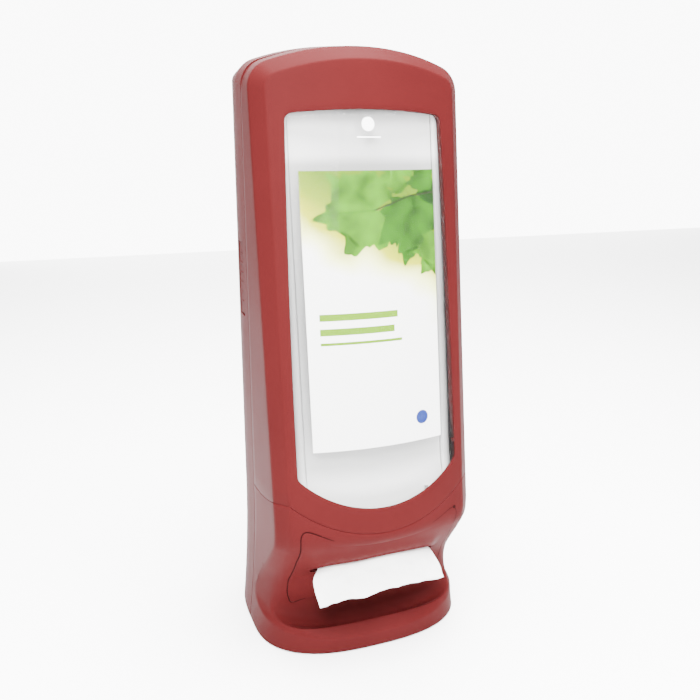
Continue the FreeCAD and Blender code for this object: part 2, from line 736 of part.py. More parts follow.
LOCK_X, LOCK_Z = size("lockAcross"), size("lockLevel")
sleeve = rod("LockSleeve", "lockRadius + 2", "6", "lockAcross", "-96", "lockLevel", "y")
flange = rod("LockFlange", "lockRadius + 4.5", "1.6", "lockAcross", "-93", "lockLevel", "y")
bore = rod("LockBore", "lockRadius + 0.05", "10", "lockAcross", "-98", "lockLevel", "y")
node("lock_barrel", cut("LockBarrel", fuse("LockBarrelBlank", sleeve, flange), bore))
plug = rod("LockPlug", "lockRadius", "6.4", "lockAcross", "-96.2", "lockLevel", "y")
keyway = box("LockKeyway", "1.4", "4", "5", str(LOCK_X - 0.7), "-96.5", str(LOCK_Z - 2.5))
node("lock_core", cut("LockCore", plug, keyway))
arm = box("CamArm", "8", "2", "camReach", str(LOCK_X - 4), "-89.7", "lockLevel")
hub = rod("CamHub", "lockRadius", "2", "lockAcross", "-89.7", "lockLevel", "y")
node("lock_cam", fuse("LockCam", arm, hub))
pad = Part.makeBox(19, 20, 9, vec(53, -110, 163)).common(cover_form(WALL + 0.1))
drop = Part.makeBox(4, 5, 36, vec(53, -92, 138.5))
foot = Part.makeBox(19, 5, 4, vec(53, -92, 138.5))
node("lock_strike", formed("LockStrike", pad.fuse(drop).fuse(foot).removeSplitter()))

# ---------------------------------------------------------------- base plate, feet and screws

low = size("footHigh")
front = Part.Face(base_wire(low, 6.0)).extrude(vec(0, 0, size("plateThick")))
back = Part.Face(rear_section(low, 6.0, -2.0)).extrude(vec(0, 0, size("plateThick")))
plate = front.fuse(back)
for x in (-BOSS_X, BOSS_X):
    for y in (BOSS_FRONT, BOSS_REAR):
        plate = plate.cut(Part.makeCylinder(2.2, 20, vec(x, y, -5)))
node("base_plate", formed("BasePlate", plate.removeSplitter()))

FEET = [(-80, -58), (80, -58), (-80, 64), (80, 64)]
feet = []
for x, y in FEET:
    feet.append(rod(f"Foot{len(feet) + 1}", "footRadius", "footHigh", str(x), str(y), "0"))
node("rubber_feet", group("RubberFeet", *feet))

bolts, nuts = [], []
for x in (-BOSS_X, BOSS_X):
    for y, length in ((BOSS_FRONT, 7.5), (BOSS_REAR, 12.5)):
        tag = str(len(bolts) + 1)
        radius = "1.8" if y == BOSS_FRONT else "2"
        head = rod("BoltHead" + tag, "3.8", "1.4", str(x), str(y), "0.5")
        shank = rod("BoltShank" + tag, radius, str(length), str(x), str(y), "1.8")
        bolts.append(fuse("Bolt" + tag, head, shank))
    nut = doc.addObject("Part::Prism", f"NutBlank{len(nuts) + 1}")
    bind(nut, Circumradius="4", Height="3")
    place(nut, str(x), str(BOSS_REAR), "8.4")
    hole = rod(f"NutHole{len(nuts) + 1}", "2.05", "6", str(x), str(BOSS_REAR), "7")
    nuts.append(cut(f"Nut{len(nuts) + 1}", nut, hole))
node("base_screws", group("BaseScrews", *bolts))
node("base_nuts", group("BaseNuts", *nuts))

plates, joint_screws = [], []
for side in (-1, 1):
    near = lambda inner, wide: str(inner if side > 0 else -inner - wide)
    tag = str(len(plates) + 1)
    plates.append(box("JointPlate" + tag, "2.5", "36", "80", near(101.6, 2.5), "-22", "78"))
    for y in (-14.0, 8.0):
        for z in (90.0, 144.0):
            name = f"JointScrew{len(joint_screws) + 1}"
            joint_screws.append(rod(name, "3.2", "2", near(99.5, 2), str(y), str(z), "x"))
node("joint_plates", group("JointPlates", *plates))
node("joint_screws", group("JointScrews", *joint_screws))

# ---------------------------------------------------------------- the napkin in the mouth

tongue_line = [vec(0, -60, 108), vec(0, -67, 90.2), vec(0, -86, 89.2), vec(0, -103.5, 69)]
thick = 1.0
lower_side = [point + vec(0, 0.3, -thick / 2) for point in tongue_line]
upper_side = [point + vec(0, -0.3, thick / 2) for point in reversed(tongue_line)]
tongue = prism(polygon(lower_side + upper_side), vec(2 * 67.0, 0, 0))
tongue.translate(vec(-67.0, 0, 0))
node("napkin_tongue", formed("NapkinTongue", tongue))

# ---------------------------------------------------------------- checks and export

doc.recompute()
for thing in doc.Objects:
    bad = [word for word in thing.State if word in ("Invalid", "Error")]
    if bad:
        raise RuntimeError(f"{thing.Name} is {bad}")
for label, thing in nodes.items():
    shape = thing.Shape
    if shape.isNull() or not shape.isValid():
        raise RuntimeError(f"{label} has no valid shape")
    print(f"{label:24s} {len(shape.Solids):2d} solids {shape.Volume / 1000:9.2f} cm3  {shape.BoundBox}")
    shape.exportStep(f"parts/{label}.step")
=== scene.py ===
"""Looks of a tall counter-top napkin dispenser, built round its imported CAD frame.

Lengths are millimetres in the frame's own axes until mesh() turns them into metres:
+X across the width, -Y towards the user, +Z up, y = 0 at the joint between the rear
housing and the two front shells.
"""
import math

import bmesh
import bpy
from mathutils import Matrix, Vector, noise


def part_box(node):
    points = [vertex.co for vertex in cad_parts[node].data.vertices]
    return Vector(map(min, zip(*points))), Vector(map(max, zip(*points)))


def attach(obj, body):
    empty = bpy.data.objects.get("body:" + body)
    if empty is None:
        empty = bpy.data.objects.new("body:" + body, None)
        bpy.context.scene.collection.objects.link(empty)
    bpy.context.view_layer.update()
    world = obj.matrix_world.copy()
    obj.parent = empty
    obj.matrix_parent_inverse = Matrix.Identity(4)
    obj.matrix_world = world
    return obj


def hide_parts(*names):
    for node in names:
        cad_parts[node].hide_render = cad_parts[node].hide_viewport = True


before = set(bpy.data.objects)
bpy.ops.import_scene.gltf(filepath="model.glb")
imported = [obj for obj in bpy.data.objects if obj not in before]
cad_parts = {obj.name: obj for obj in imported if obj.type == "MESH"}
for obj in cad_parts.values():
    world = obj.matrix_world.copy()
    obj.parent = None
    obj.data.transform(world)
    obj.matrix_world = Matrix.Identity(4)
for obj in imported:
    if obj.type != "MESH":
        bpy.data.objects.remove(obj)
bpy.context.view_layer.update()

MM = 0.001

# -------- sizes

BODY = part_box("front_cover")[1].x / MM  # half the width of the tower
BASE = 117.5  # half the width at the floor
FLARE = 160.0  # the sides flare below this height
LEAN = 0.134  # the front leans back this much per mm of height
SIDE_REF, HEIGHT_REF = -64.5, 297.0  # the side wall's front edge at the reference height
BEVEL_X, BEVEL_Y = 12.4, 14.25
EDGE = BODY - BEVEL_X  # half the width of the front face
FACE_R = 313.7  # radius of the bulging face
APEX = 610.0  # top of the cover's front edge
TOP_R, CORNER_R, TOP_RISE = 282.0, 26.0, 0.1
SEAM_DIP, SEAM_RISE, SEAM_REAR = 141.8, 35.7, 163.0
HALF_GAP = 0.5
REAR_LINE = -0.5
SHELL = 1.6  # thickness of the front shells
UNDERSIDE = 1.2

WINDOW_TOP, WINDOW_TOP_HALF, WINDOW_RISE = 547.8, 79.4, 4.7
WINDOW_LOW, WINDOW_LOW_HALF, WINDOW_SAG, WINDOW_BOW = 203.1, 86.2, 35.8, 1.6

BASE_FRONT, BASE_MID, BASE_POWER = 99.3, 16.0, 2 / 2.6
SLOT_HALF, SLOT_Z = 70.0, 92.0  # the napkin slot's half width and the height of its middle


# -------- small tools

def lerp(a, b, t):
    return a + (b - a) * t


def smooth(low, high, value):
    t = min(1.0, max(0.0, (value - low) / (high - low)))
    return t * t * (3 - 2 * t)


def bend(a, corner, b, t):
    """A point on the rounded corner that starts at a and ends at b."""
    return a * (1 - t) ** 2 + corner * (2 * t * (1 - t)) + b * t ** 2


def spline(points, count):
    """So many steps along a smooth curve through the points."""
    points = [Vector(p) for p in points]
    ends = [points[0] * 2 - points[1]] + points + [points[-1] * 2 - points[-2]]
    spans = len(points) - 1
    result = []
    for step in range(count + 1):
        place = step / count * spans
        i = min(int(place), spans - 1)
        t = place - i
        p0, p1, p2, p3 = ends[i:i + 4]
        result.append(0.5 * (p1 * 2 + (p2 - p0) * t + (p0 * 2 - p1 * 5 + p2 * 4 - p3) * t ** 2
                             + (p1 * 3 - p0 - p2 * 3 + p3) * t ** 3))
    return result


def mesh(name, grids, body, material, smooth_angle=40, ring=False):
    """One object from grids of points. Points that coincide are joined. A ring's rows close on themselves."""
    data = bmesh.new()
    for grid in grids:
        rows = [[data.verts.new(Vector(p) * MM) for p in row] for row in grid]
        for low, high in zip(rows, rows[1:]):
            columns = range(len(low) if ring else len(low) - 1)
            for i in columns:
                j = (i + 1) % len(low)
                data.faces.new((low[i], low[j], high[j], high[i]))
    bmesh.ops.remove_doubles(data, verts=data.verts, dist=0.02 * MM)
    bmesh.ops.dissolve_degenerate(data, edges=data.edges, dist=0.005 * MM)
    return finished(name, data, body, material, smooth_angle)


def show(thing):
    bpy.context.scene.collection.objects.link(thing)


def finished(name, data, body, material, smooth_angle):
    """A bmesh made into an object, which rides on a body."""
    thing = bpy.data.objects.new(name, bpy.data.meshes.new(name))
    data.to_mesh(thing.data)
    data.free()
    show(thing)
    thing.data.materials.append(material)
    for polygon in thing.data.polygons:
        polygon.use_smooth = True
    thing.data.update()
    with bpy.context.temp_override(object=thing, active_object=thing, selected_editable_objects=[thing]):
        bpy.ops.object.shade_smooth_by_angle(angle=math.radians(smooth_angle))
    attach(thing, body)
    return thing


def thicken(thing, thickness, rim=None):
    """Give a skin its wall thickness, inwards, and break its sharp rims."""
    solid = thing.modifiers.new("wall", "SOLIDIFY")
    solid.thickness = thickness * MM
    solid.offset = -1
    solid.use_even_offset = False
    if rim:
        edge = thing.modifiers.new("rim", "BEVEL")
        edge.width = rim * MM
        edge.segments = 2
        edge.limit_method = "ANGLE"
        edge.angle_limit = math.radians(60)
        edge.harden_normals = False


# -------- materials

def shader(name, colour, roughness, **sockets):
    """A new material and its main shader. Constants go straight onto the shader's sockets."""
    material = bpy.data.materials.new(name)
    material.use_nodes = True
    main = material.node_tree.nodes["Principled BSDF"]
    main.inputs["Base Color"].default_value = (*colour, 1)
    main.inputs["Roughness"].default_value = roughness
    for socket, value in sockets.items():
        main.inputs[socket.replace("_", " ")].default_value = value
    return material, main


def add(material, kind, **values):
    made = material.node_tree.nodes.new(kind)
    for key, value in values.items():
        socket = key.replace("_", " ")
        if socket in made.inputs:
            made.inputs[socket].default_value = value
        else:
            setattr(made, key, value)
    return made


def link(material, start, out, end, into):
    material.node_tree.links.new(start.outputs[out], end.inputs[into])


def speckle(material, scale, detail=2.0):
    place = add(material, "ShaderNodeTexCoord")
    dots = add(material, "ShaderNodeTexNoise", Scale=scale, Detail=detail)
    link(material, place, "Object", dots, "Vector")
    return dots


def roughen(material, main, scale, strength, distance=0.0002, detail=3.0):
    """Fine relief all over."""
    dots = speckle(material, scale, detail)
    bump = add(material, "ShaderNodeBump", Strength=strength, Distance=distance)
    link(material, dots, "Fac", bump, "Height")
    link(material, bump, "Normal", main, "Normal")
    return dots


def vary_colour(material, main, scale, dark, light):
    dots = speckle(material, scale, 3.0)
    ramp = add(material, "ShaderNodeValToRGB")
    ramp.color_ramp.elements[0].position = 0.3
    ramp.color_ramp.elements[1].position = 0.7
    ramp.color_ramp.elements[0].color = (*dark, 1)
    ramp.color_ramp.elements[1].color = (*light, 1)
    link(material, dots, "Fac", ramp, "Fac")
    link(material, ramp, "Color", main, "Base Color")


def vary_roughness(material, main, scale, low, high):
    dots = speckle(material, scale, 2.0)
    span = add(material, "ShaderNodeMapRange", To_Min=low, To_Max=high)
    link(material, dots, "Fac", span, "Value")
    link(material, span, "Result", main, "Roughness")


def plastic(name, dark, light, rough, grain=2600, strength=0.25, index=1.3):
    """Moulded plastic with a fine spark-eroded texture."""
    material, main = shader(name, light, rough)
    main.inputs["IOR"].default_value = index
    vary_colour(material, main, 9, dark, light)
    vary_roughness(material, main, 14, rough - 0.03, rough + 0.04)
    roughen(material, main, grain, strength)
    return material


def metal(name, colour, rough, scale=900, strength=0.1):
    material, main = shader(name, colour, rough, Metallic=1.0)
    vary_roughness(material, main, 60, rough - 0.05, rough + 0.08)
    roughen(material, main, scale, strength)
    return material


RED = plastic("red_plastic", (0.040, 0.0053, 0.0055), (0.046, 0.0061, 0.0063), 0.5, index=1.07)
GREY = plastic("grey_plastic", (0.55, 0.55, 0.545), (0.60, 0.60, 0.595), 0.5, 1400, 0.1)
RUBBER = plastic("foot_rubber", (0.020, 0.020, 0.020), (0.032, 0.032, 0.032), 0.75, 1500, 0.4)
ZINC = metal("zinc_plate", (0.62, 0.62, 0.61), 0.32)
SPRING = metal("spring_wire", (0.40, 0.40, 0.42), 0.25)
IRON = plastic("painted_iron", (0.075, 0.075, 0.08), (0.10, 0.10, 0.105), 0.6, 700, 0.5)
CHROME = metal("lock_chrome", (0.72, 0.72, 0.73), 0.14)
# Painted shade: a near-black red that stands in for the shade inside the joints and the key hole.
GAP_SHADE = plastic("gap_shadow", (0.010, 0.0012, 0.0012), (0.013, 0.0015, 0.0015), 0.8, index=1.1)
COAT = plastic("powder_coat", (0.035, 0.035, 0.037), (0.05, 0.05, 0.052), 0.5, 1300, 0.4)


def clear_lens():
    material, main = shader("clear_lens", (0.1, 0.1, 0.1), 0.06, Alpha=0.045, IOR=1.45)
    roughen(material, main, 30, 0.02, 0.0004)
    return material


LENS = clear_lens()


def paper():
    """Creped two-ply tissue: soft, white, with a fine cross ripple."""
    material, main = shader("napkin_paper", (0.90, 0.895, 0.885), 0.92, Subsurface_Weight=0.12,
                            Subsurface_Radius=(0.002, 0.002, 0.002), Sheen_Weight=0.25)
    place = add(material, "ShaderNodeTexCoord")
    stretch = add(material, "ShaderNodeMapping", Scale=(700, 2600, 2600))
    ripple = add(material, "ShaderNodeTexNoise", Scale=1.0, Detail=3.0)
    bump = add(material, "ShaderNodeBump", Strength=0.35, Distance=0.0003)
    link(material, place, "Object", stretch, "Vector")
    link(material, stretch, "Vector", ripple, "Vector")
    link(material, ripple, "Fac", bump, "Height")
    link(material, bump, "Normal", main, "Normal")
    return material


PAPER = paper()


# -------- the outer form

def half_width(z):
    flare = BASE - BODY
    radius = (FLARE ** 2 + flare ** 2) / (2 * flare)
    return BODY if z >= FLARE else BODY + radius - math.sqrt(radius ** 2 - (FLARE - z) ** 2)


def lean_y(z):
    return SIDE_REF + LEAN * (z - HEIGHT_REF)


def bulge(x):
    return math.sqrt(FACE_R ** 2 - x ** 2) - math.sqrt(FACE_R ** 2 - EDGE ** 2)


def face_y(x, z):
    return lean_y(z) - BEVEL_Y - bulge(x)


def seam_front(x):
    """Height of the joint between cover and lower housing, across the face and the bevels."""
    u = min(1.0, abs(x) / EDGE)
    return SEAM_DIP + SEAM_RISE * (0.86 * u ** 2 + 0.14 * u ** 4)


def seam_side(y):
    """And along the side walls."""
    top = SEAM_DIP + SEAM_RISE
    return SEAM_REAR + (top - SEAM_REAR) * (y / lean_y(top)) ** 2


# -------- front cover

SIDE_STEPS, CORNER_STEPS, ARCH_STEPS, SEAM_STEPS = 26, 9, 36, 48


def arch_outline():
    """Stations round the cover's outline, from the left seam over the top to the right seam.

    Each is (x, z, inward x, inward z, share of the straight side or None).
    """
    centre_z = APEX - TOP_R
    corner_x = BODY - CORNER_R
    corner_z = centre_z + math.sqrt((TOP_R - CORNER_R) ** 2 - corner_x ** 2)
    meet = math.atan2(corner_z - centre_z, corner_x)
    left = []
    for step in range(SIDE_STEPS + 1):
        left.append((-BODY, corner_z, 1.0, 0.0, step / SIDE_STEPS))
    for step in range(1, CORNER_STEPS + 1):
        angle = math.pi - meet * step / CORNER_STEPS
        x = -corner_x + CORNER_R * math.cos(angle)
        left.append((x, corner_z + CORNER_R * math.sin(angle), -math.cos(angle), -math.sin(angle), None))
    arch = []
    for step in range(1, ARCH_STEPS):
        angle = math.pi - meet - (math.pi - 2 * meet) * step / ARCH_STEPS
        arch.append((TOP_R * math.cos(angle), centre_z + TOP_R * math.sin(angle),
                     -math.cos(angle), -math.sin(angle), None))
    right = [(-x, z, -inx, inz, share) for x, z, inx, inz, share in reversed(left)]
    return left + arch + right


OUTLINE = arch_outline()


def bevel_point(station, inset, ahead, gap):
    """A point of the bevel or face at a station, inset from the outline and ahead of the side wall."""
    x, z, inx, inz, share = station
    if share is not None:
        side = math.copysign(1, x)
        x = side * (BODY - inset)
        low = seam_front(x) + gap
        z = lerp(low, z, share)
        rim = lean_y(z)
    else:
        rim = face_y(x + BEVEL_X * inx, z + BEVEL_X * inz) + BEVEL_Y
        x, z = x + inset * inx, z + inset * inz
    return Vector((x, face_y(x, z) if ahead is None else rim - ahead, z))


def wall_point(station, share_back, reach, gap):
    """A point of the side wall or top, between the bevel and the rear line."""
    x, z, inx, inz, share = station
    if share is not None:
        rim = lean_y(seam_front(BODY) + gap) + reach
        y = lerp(rim, REAR_LINE, share_back)
        low = seam_side(y) + gap
        z = lerp(low, z, share)
        y = lerp(lean_y(z) + reach, REAR_LINE, share_back)
        return Vector((x, y, z))
    rim = face_y(x + BEVEL_X * inx, z + BEVEL_X * inz) + BEVEL_Y
    y = lerp(rim + reach, REAR_LINE, share_back)
    lift = TOP_RISE * (y - rim) * -inz
    return Vector((x, y, z + lift))


def cover_rim(gap):
    """Rows from the rear line forward over the side wall and the bevel to the face."""
    soft_c, soft_d = 2.2, 1.6
    slope = math.hypot(BEVEL_X, BEVEL_Y)
    along = (BEVEL_X / slope, BEVEL_Y / slope)
    rows = [[wall_point(s, 1 - step / 8, soft_c, gap) for s in OUTLINE] for step in range(9)]
    for t in (0.33, 0.67):
        rows.append([bend(wall_point(s, 0, soft_c, gap), bevel_point(s, 0, 0, gap),
                          bevel_point(s, soft_c * along[0], soft_c * along[1], gap), t) for s in OUTLINE])
    first, last = soft_c / slope, 1 - soft_d / slope
    for share in (first, 0.35, 0.65, last):
        rows.append([bevel_point(s, share * BEVEL_X, share * BEVEL_Y, gap) for s in OUTLINE])
    inner = BEVEL_X + soft_d * 0.95
    for t in (0.33, 0.67):
        rows.append([bend(bevel_point(s, last * BEVEL_X, last * BEVEL_Y, gap),
                          bevel_point(s, BEVEL_X, BEVEL_Y, gap),
                          bevel_point(s, inner, None, gap), t) for s in OUTLINE])
    rows.append([bevel_point(s, inner, None, gap) for s in OUTLINE])
    return rows


def window_outline(sides, corners, arch, foot):
    """The window's outline, clockwise from its lower left corner, with as many steps as the ring round it."""
    lower = Vector((-WINDOW_LOW_HALF, 0, WINDOW_LOW))
    upper = Vector((-WINDOW_TOP_HALF, 0, WINDOW_TOP))
    low_round, top_round = 3.5, 7.0

    def side(t):
        point = lower.lerp(upper, t)
        point.x -= WINDOW_BOW * 4 * t * (1 - t)
        return point

    def top(t):
        rise = WINDOW_RISE * 4 * t * (1 - t)
        return Vector((lerp(-WINDOW_TOP_HALF, WINDOW_TOP_HALF, t), 0, WINDOW_TOP + rise))

    def sag(t):
        x = lerp(WINDOW_LOW_HALF, -WINDOW_LOW_HALF, t)
        radius = (WINDOW_LOW_HALF ** 2 + WINDOW_SAG ** 2) / (2 * WINDOW_SAG)
        return Vector((x, 0, WINDOW_LOW - math.sqrt(radius ** 2 - x ** 2) + radius - WINDOW_SAG))

    length = (upper - lower).length
    first, last = low_round / length, 1 - top_round / length
    cut_top, cut_low = top_round / (2 * WINDOW_TOP_HALF), low_round / (2 * WINDOW_LOW_HALF)
    left = [side(lerp(first, last, i / sides)) for i in range(sides + 1)]
    left += [bend(side(last), upper, top(cut_top), i / corners) for i in range(1, corners + 1)]
    middle = [top(lerp(cut_top, 1 - cut_top, i / arch)) for i in range(1, arch)]
    right = [Vector((-p.x, 0, p.z)) for p in reversed(left)]
    low_right = Vector((WINDOW_LOW_HALF, 0, WINDOW_LOW))
    turn = [bend(right[-1], low_right, sag(cut_low), i / 3) for i in range(1, 4)]
    bottom = [sag(lerp(cut_low, 1 - cut_low, i / (foot - 6))) for i in range(1, foot - 6)]
    turned = [bend(sag(1 - cut_low), lower, left[0], i / 3) for i in range(3)]
    return left + middle + right + turn + bottom + turned


def cover_face(rim_row, gap):
    """Rows round the window, from the bevel in to the window's edge and back along its return."""
    x_end = rim_row[0].x
    foot = []
    for step in range(1, SEAM_STEPS):
        x = lerp(-x_end, x_end, step / SEAM_STEPS)
        z = seam_front(x) + gap
        foot.append(Vector((x, face_y(x, z), z)))
    outer = rim_row + foot
    window = window_outline(SIDE_STEPS, CORNER_STEPS, ARCH_STEPS, SEAM_STEPS)
    rows = []
    steps, lip = 9, 0.7
    for step in range(steps + 1):
        row = []
        for a, b in zip(outer, window):
            away = Vector((a.x - b.x, 0, a.z - b.z)).normalized() * lip
            x, z = lerp(a.x, b.x + away.x, step / steps), lerp(a.z, b.z + away.z, step / steps)
            row.append(a if step == 0 else Vector((x, face_y(x, z), z)))
        rows.append(row)
    for part in (0.3, 1.0):
        row = []
        for a, b in zip(rows[-1] if part == 0.3 else rows[-2], window):
            x, z = lerp(a.x, b.x, part ** 0.5), lerp(a.z, b.z, part ** 0.5)
            row.append(Vector((x, face_y(x, z) + lip * part, z)))
        rows.append(row)
    for part in (0.5, 1.0):
        row = []
        for b in window:
            deep = 2.2 + 7.3 * smooth(WINDOW_LOW + 8, WINDOW_LOW + 60, b.z)
            row.append(Vector((b.x, face_y(b.x, b.z) + lerp(lip, deep, part), b.z)))
        rows.append(row)
    return rows, window


def make_cover():
    rim = cover_rim(HALF_GAP)
    face, window = cover_face(rim[-1], HALF_GAP)
    thing = mesh("cover_shell", [rim], "cover", RED)
    ring = mesh("cover_ring", [face], "cover", RED, ring=True)
    joined = join([thing, ring], "cover_shell")
    thicken(joined, SHELL, 0.35)
    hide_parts("front_cover")
    return window


def join(things, name):
    """Several skins as one, with their shared edges joined and all faces turned outwards."""
    data = bmesh.new()
    for thing in things:
        data.from_mesh(thing.data)
    bmesh.ops.remove_doubles(data, verts=data.verts, dist=0.02 * MM)
    bmesh.ops.recalc_face_normals(data, faces=data.faces)
    keep = things[0]
    data.to_mesh(keep.data)
    data.free()
    for thing in things[1:]:
        bpy.data.objects.remove(thing)
    keep.name = name
    for polygon in keep.data.polygons:
        polygon.use_smooth = True
    return keep


WINDOW = make_cover()


# -------- lower housing

# z and y of the front face where it meets the bevels, from behind the cover's edge down to the tray
FRONT_LINE = [(186, -93.7), (177, -94.85), (162, -96.9), (150, -98.3), (141, -98.7), (132, -96.4),
              (120.5, -89.2), (109, -81.5), (93.4, -70.5), (78.7, -61), (66, -56), (55, -52.8),
              (46.5, -50.6), (36, -49.5)]


def sampled(points):
    return [(p.x, p.y) for p in spline([(z, y, 0) for z, y in points], 10 * (len(points) - 1))]


FRONT_SAMPLES = sampled(FRONT_LINE)


def read_off(samples, z):
    for (z0, y0), (z1, y1) in zip(samples, samples[1:]):
        if z >= z1:
            return lerp(y0, y1, min(1.0, (z0 - z) / (z0 - z1)))
    return samples[-1][1]


def front_y(x, z):
    """The front of the lower housing above the tray. It bulges less at the waist than under the seam."""
    share = min(1.0, abs(x) / (half_width(z) - BEVEL_X))
    depth = lerp(6.5, bulge(0), smooth(45, 105, z))
    return read_off(FRONT_SAMPLES, z) - depth * bulge(EDGE * share) / bulge(0)


def plan(turn, z):
    """The base's outline: turn is mm forward of its straight sides if negative, then degrees to the front."""
    wide = half_width(z)
    if turn <= 0:
        return Vector((wide, -BASE_MID - turn, z))
    c, s = math.cos(math.radians(turn)), math.sin(math.radians(turn))
    return Vector((wide * max(c, 0) ** BASE_POWER, -BASE_MID - (BASE_FRONT - BASE_MID) * s ** BASE_POWER, z))


def outer_x(y, z):
    """Half the width of the lower housing's outside."""
    wide = half_width(z)
    share = max(0.0, -y - BASE_MID) / (BASE_FRONT - BASE_MID)
    curved = wide * (1 - min(share, 0.999) ** 2.6) ** (1 / 2.6)
    return lerp(curved, wide, smooth(38, 78, z))


# Stations from the seam down the tower's edge and forward round the base. Each gives the outer edge,
# the inner edge of the bevel, the middle of the face, the rear or floor line, and the two edges' radii.
TOWER = [
    # outer y, z    bevel x, y, z             middle y, z        rear z  radii
    ((-80.6, 177), (95.6, -94.85, 177), (-113.6, 141.3), 162.5, 2.2, 1.6),
    ((-82.7, 162), (95.6, -96.9, 162), (-112.6, 134), 150, 2.4, 2.2),
    ((-84.3, 146), (95.7, -98.6, 146), (-107.8, 125), 137, 2.8, 3.0),
    ((-82.4, 132), (96.0, -96.4, 132), (-100.6, 115), 123, 3.4, 4.5),
    ((-74.5, 120.5), (96.4, -89.2, 120.5), (-93.8, 106), 111, 4.2, 6.5),
    ((-64.5, 109), (96.8, -81.5, 109), (-86.5, 96), 99, 5.0, 8.5),
    ((-50.5, 93.4), (97.4, -70.5, 93.4), (-78.6, 84), 84, 6.0, 10.0),
    ((-35.5, 78.7), (98.4, -61.0, 78.7), (-70.6, 72), 70, 7.0, 11.0),
    ((-22.5, 64.4), (99.8, -56.0, 66.0), (-64.0, 61), 56, 7.5, 11.0),
    ((-15.5, 54.0), (101.6, -52.8, 55.0), (-60.0, 51), 42, 7.5, 10.0),
    ((-12.5, 45.0), (103.6, -50.6, 46.5), (-57.8, 41), 28, 6.5, 8.0),
    ((-14.5, 37.5), (105.0, -50.3, 39.5), (-58.4, 31), 12, 5.0, 5.5)]
BASE_RUN = [
    # outer turn, z   bevel x, y, z            middle y, z        floor turn  radii
    ((5.2, 31.6), (104.4, -53.5, 34.8), (-61.0, 22), -15.5, 3.4, 4.0),
    ((19.6, 27.4), (101.2, -61.5, 31.2), (-66.0, 17), 6, 2.4, 3.6),
    ((38.7, 23.3), (94.6, -71.0, 29.2), (-72.5, 14.5), 33, 1.8, 3.4),
    ((59.0, 19.6), (81.0, -80.4, 28.0), (-79.6, 17.3), 57, 1.6, 3.2),
    ((75.5, 17.4), (60.0, -85.6, 27.2), (-84.8, 22.3), 75, 1.6, 3.0),
    ((84.0, 17.0), (30.0, -87.4, 26.5), (-87.0, 25.4), 84, 1.6, 3.0),
    ((90.0, 17.0), (0.0, -87.8, 26.3), (-87.8, 26.3), 90, 1.6, 3.0)]


def lower_stations(per_span=6):
    """Dense stations for the right-hand side."""
    outer, inner, middle, far, radii = [], [], [], [], []
    for (y, z), bevel, (my, mz), rear_z, r1, r2 in TOWER:
        outer.append((outer_x(y, z), y, z))
        inner.append(bevel)
        middle.append((0, my, mz))
        far.append((0, REAR_LINE, rear_z))
        radii.append((r1, r2, 0))
    for (turn, z), bevel, (my, mz), floor_turn, r1, r2 in BASE_RUN:
        outer.append(plan(turn, z))
        inner.append(bevel)
        middle.append((0, my, mz))
        far.append((1, floor_turn, UNDERSIDE))
        radii.append((r1, r2, 0))
    count = (len(outer) - 1) * per_span
    outer, inner, middle = spline(outer, count), spline(inner, count), spline(middle, count)
    radii = spline(radii, count)
    rears = []
    for step in range(count + 1):
        i = min(step // per_span, len(far) - 2)
        t = step / per_span - i
        a, b = far[i], far[i + 1]
        if a[0] == 0:
            z = lerp(a[2], b[2], t)
            rears.append(Vector((half_width(z), REAR_LINE, z)))
        else:
            rears.append(plan(lerp(a[1], b[1], t), UNDERSIDE))
    tower_share = [step / per_span for step in range(count + 1)]
    return list(zip(outer, inner, middle, rears, radii, tower_share))


FACE_COLUMNS = 64


def face_row(inner, middle, key):
    """A row across the face, from the left bevel edge to the right."""
    tray = smooth(9.0, 12.0, key)
    row = []
    for step in range(FACE_COLUMNS * 4 + 1):
        u = step / (FACE_COLUMNS * 2) - 1
        share = lerp(1 - (0.86 * u * u + 0.14 * u ** 4), 1 - abs(u) ** 2.4, smooth(8.0, 13.0, key))
        x = u * inner.x
        z = lerp(inner.z, middle.z, share)
        ahead = front_y(x, z)
        if key < 2:
            ahead = lerp(face_y(x, z), ahead, smooth(0, 2, key))
        y = lerp(ahead, lerp(inner.y, middle.y, share), tray)
        row.append(Vector((x, y, z)))
    return row


def along(row, length):
    """The index in a row, and how far round it, at a length from its start."""
    run = 0.0
    for i, (a, b) in enumerate(zip(row, row[1:])):
        step = (b - a).length
        if run + step >= length:
            return i, a.lerp(b, (length - run) / max(step, 1e-9))
        run += step
    return len(row) - 2, row[-2]


def right_strip(station, row):
    """From the rear line round both edges of the bevel, up to the face row's rounded start."""
    outer, inner, middle, rear, (r1, r2, _), key = station
    strip = []
    for step in range(9):
        t = step / 8
        p = rear.lerp(outer, t)
        if key < 12 or p.y > -BASE_MID:
            p.x = outer_x(p.y, p.z) if key < 13 else p.x
        lift = seam_side(p.y) - HALF_GAP - lerp(162.5, 177, t)
        p.z += lift * (1 - smooth(0, 2.0, key))
        strip.append(p)
    out_way = (strip[-2] - outer).normalized()
    in_way = (inner - outer).normalized()
    first = outer + out_way * r1
    second = outer + in_way * r1
    third = inner - in_way * r2
    half = sum((b - a).length for a, b in zip(row, row[1:])) / 2
    index, fourth = along(row, min(r2, half * 0.8))
    strip = strip[:-1] + [first] + [bend(first, outer, second, t) for t in (0.33, 0.67)]
    strip += [second, second.lerp(third, 0.5), third]
    strip += [bend(third, inner, fourth, t) for t in (0.25, 0.5, 0.75)]
    return strip, index, fourth


TUCK, FLANGE = 4.6, 4.5  # the lower shell's edge runs up behind the cover's


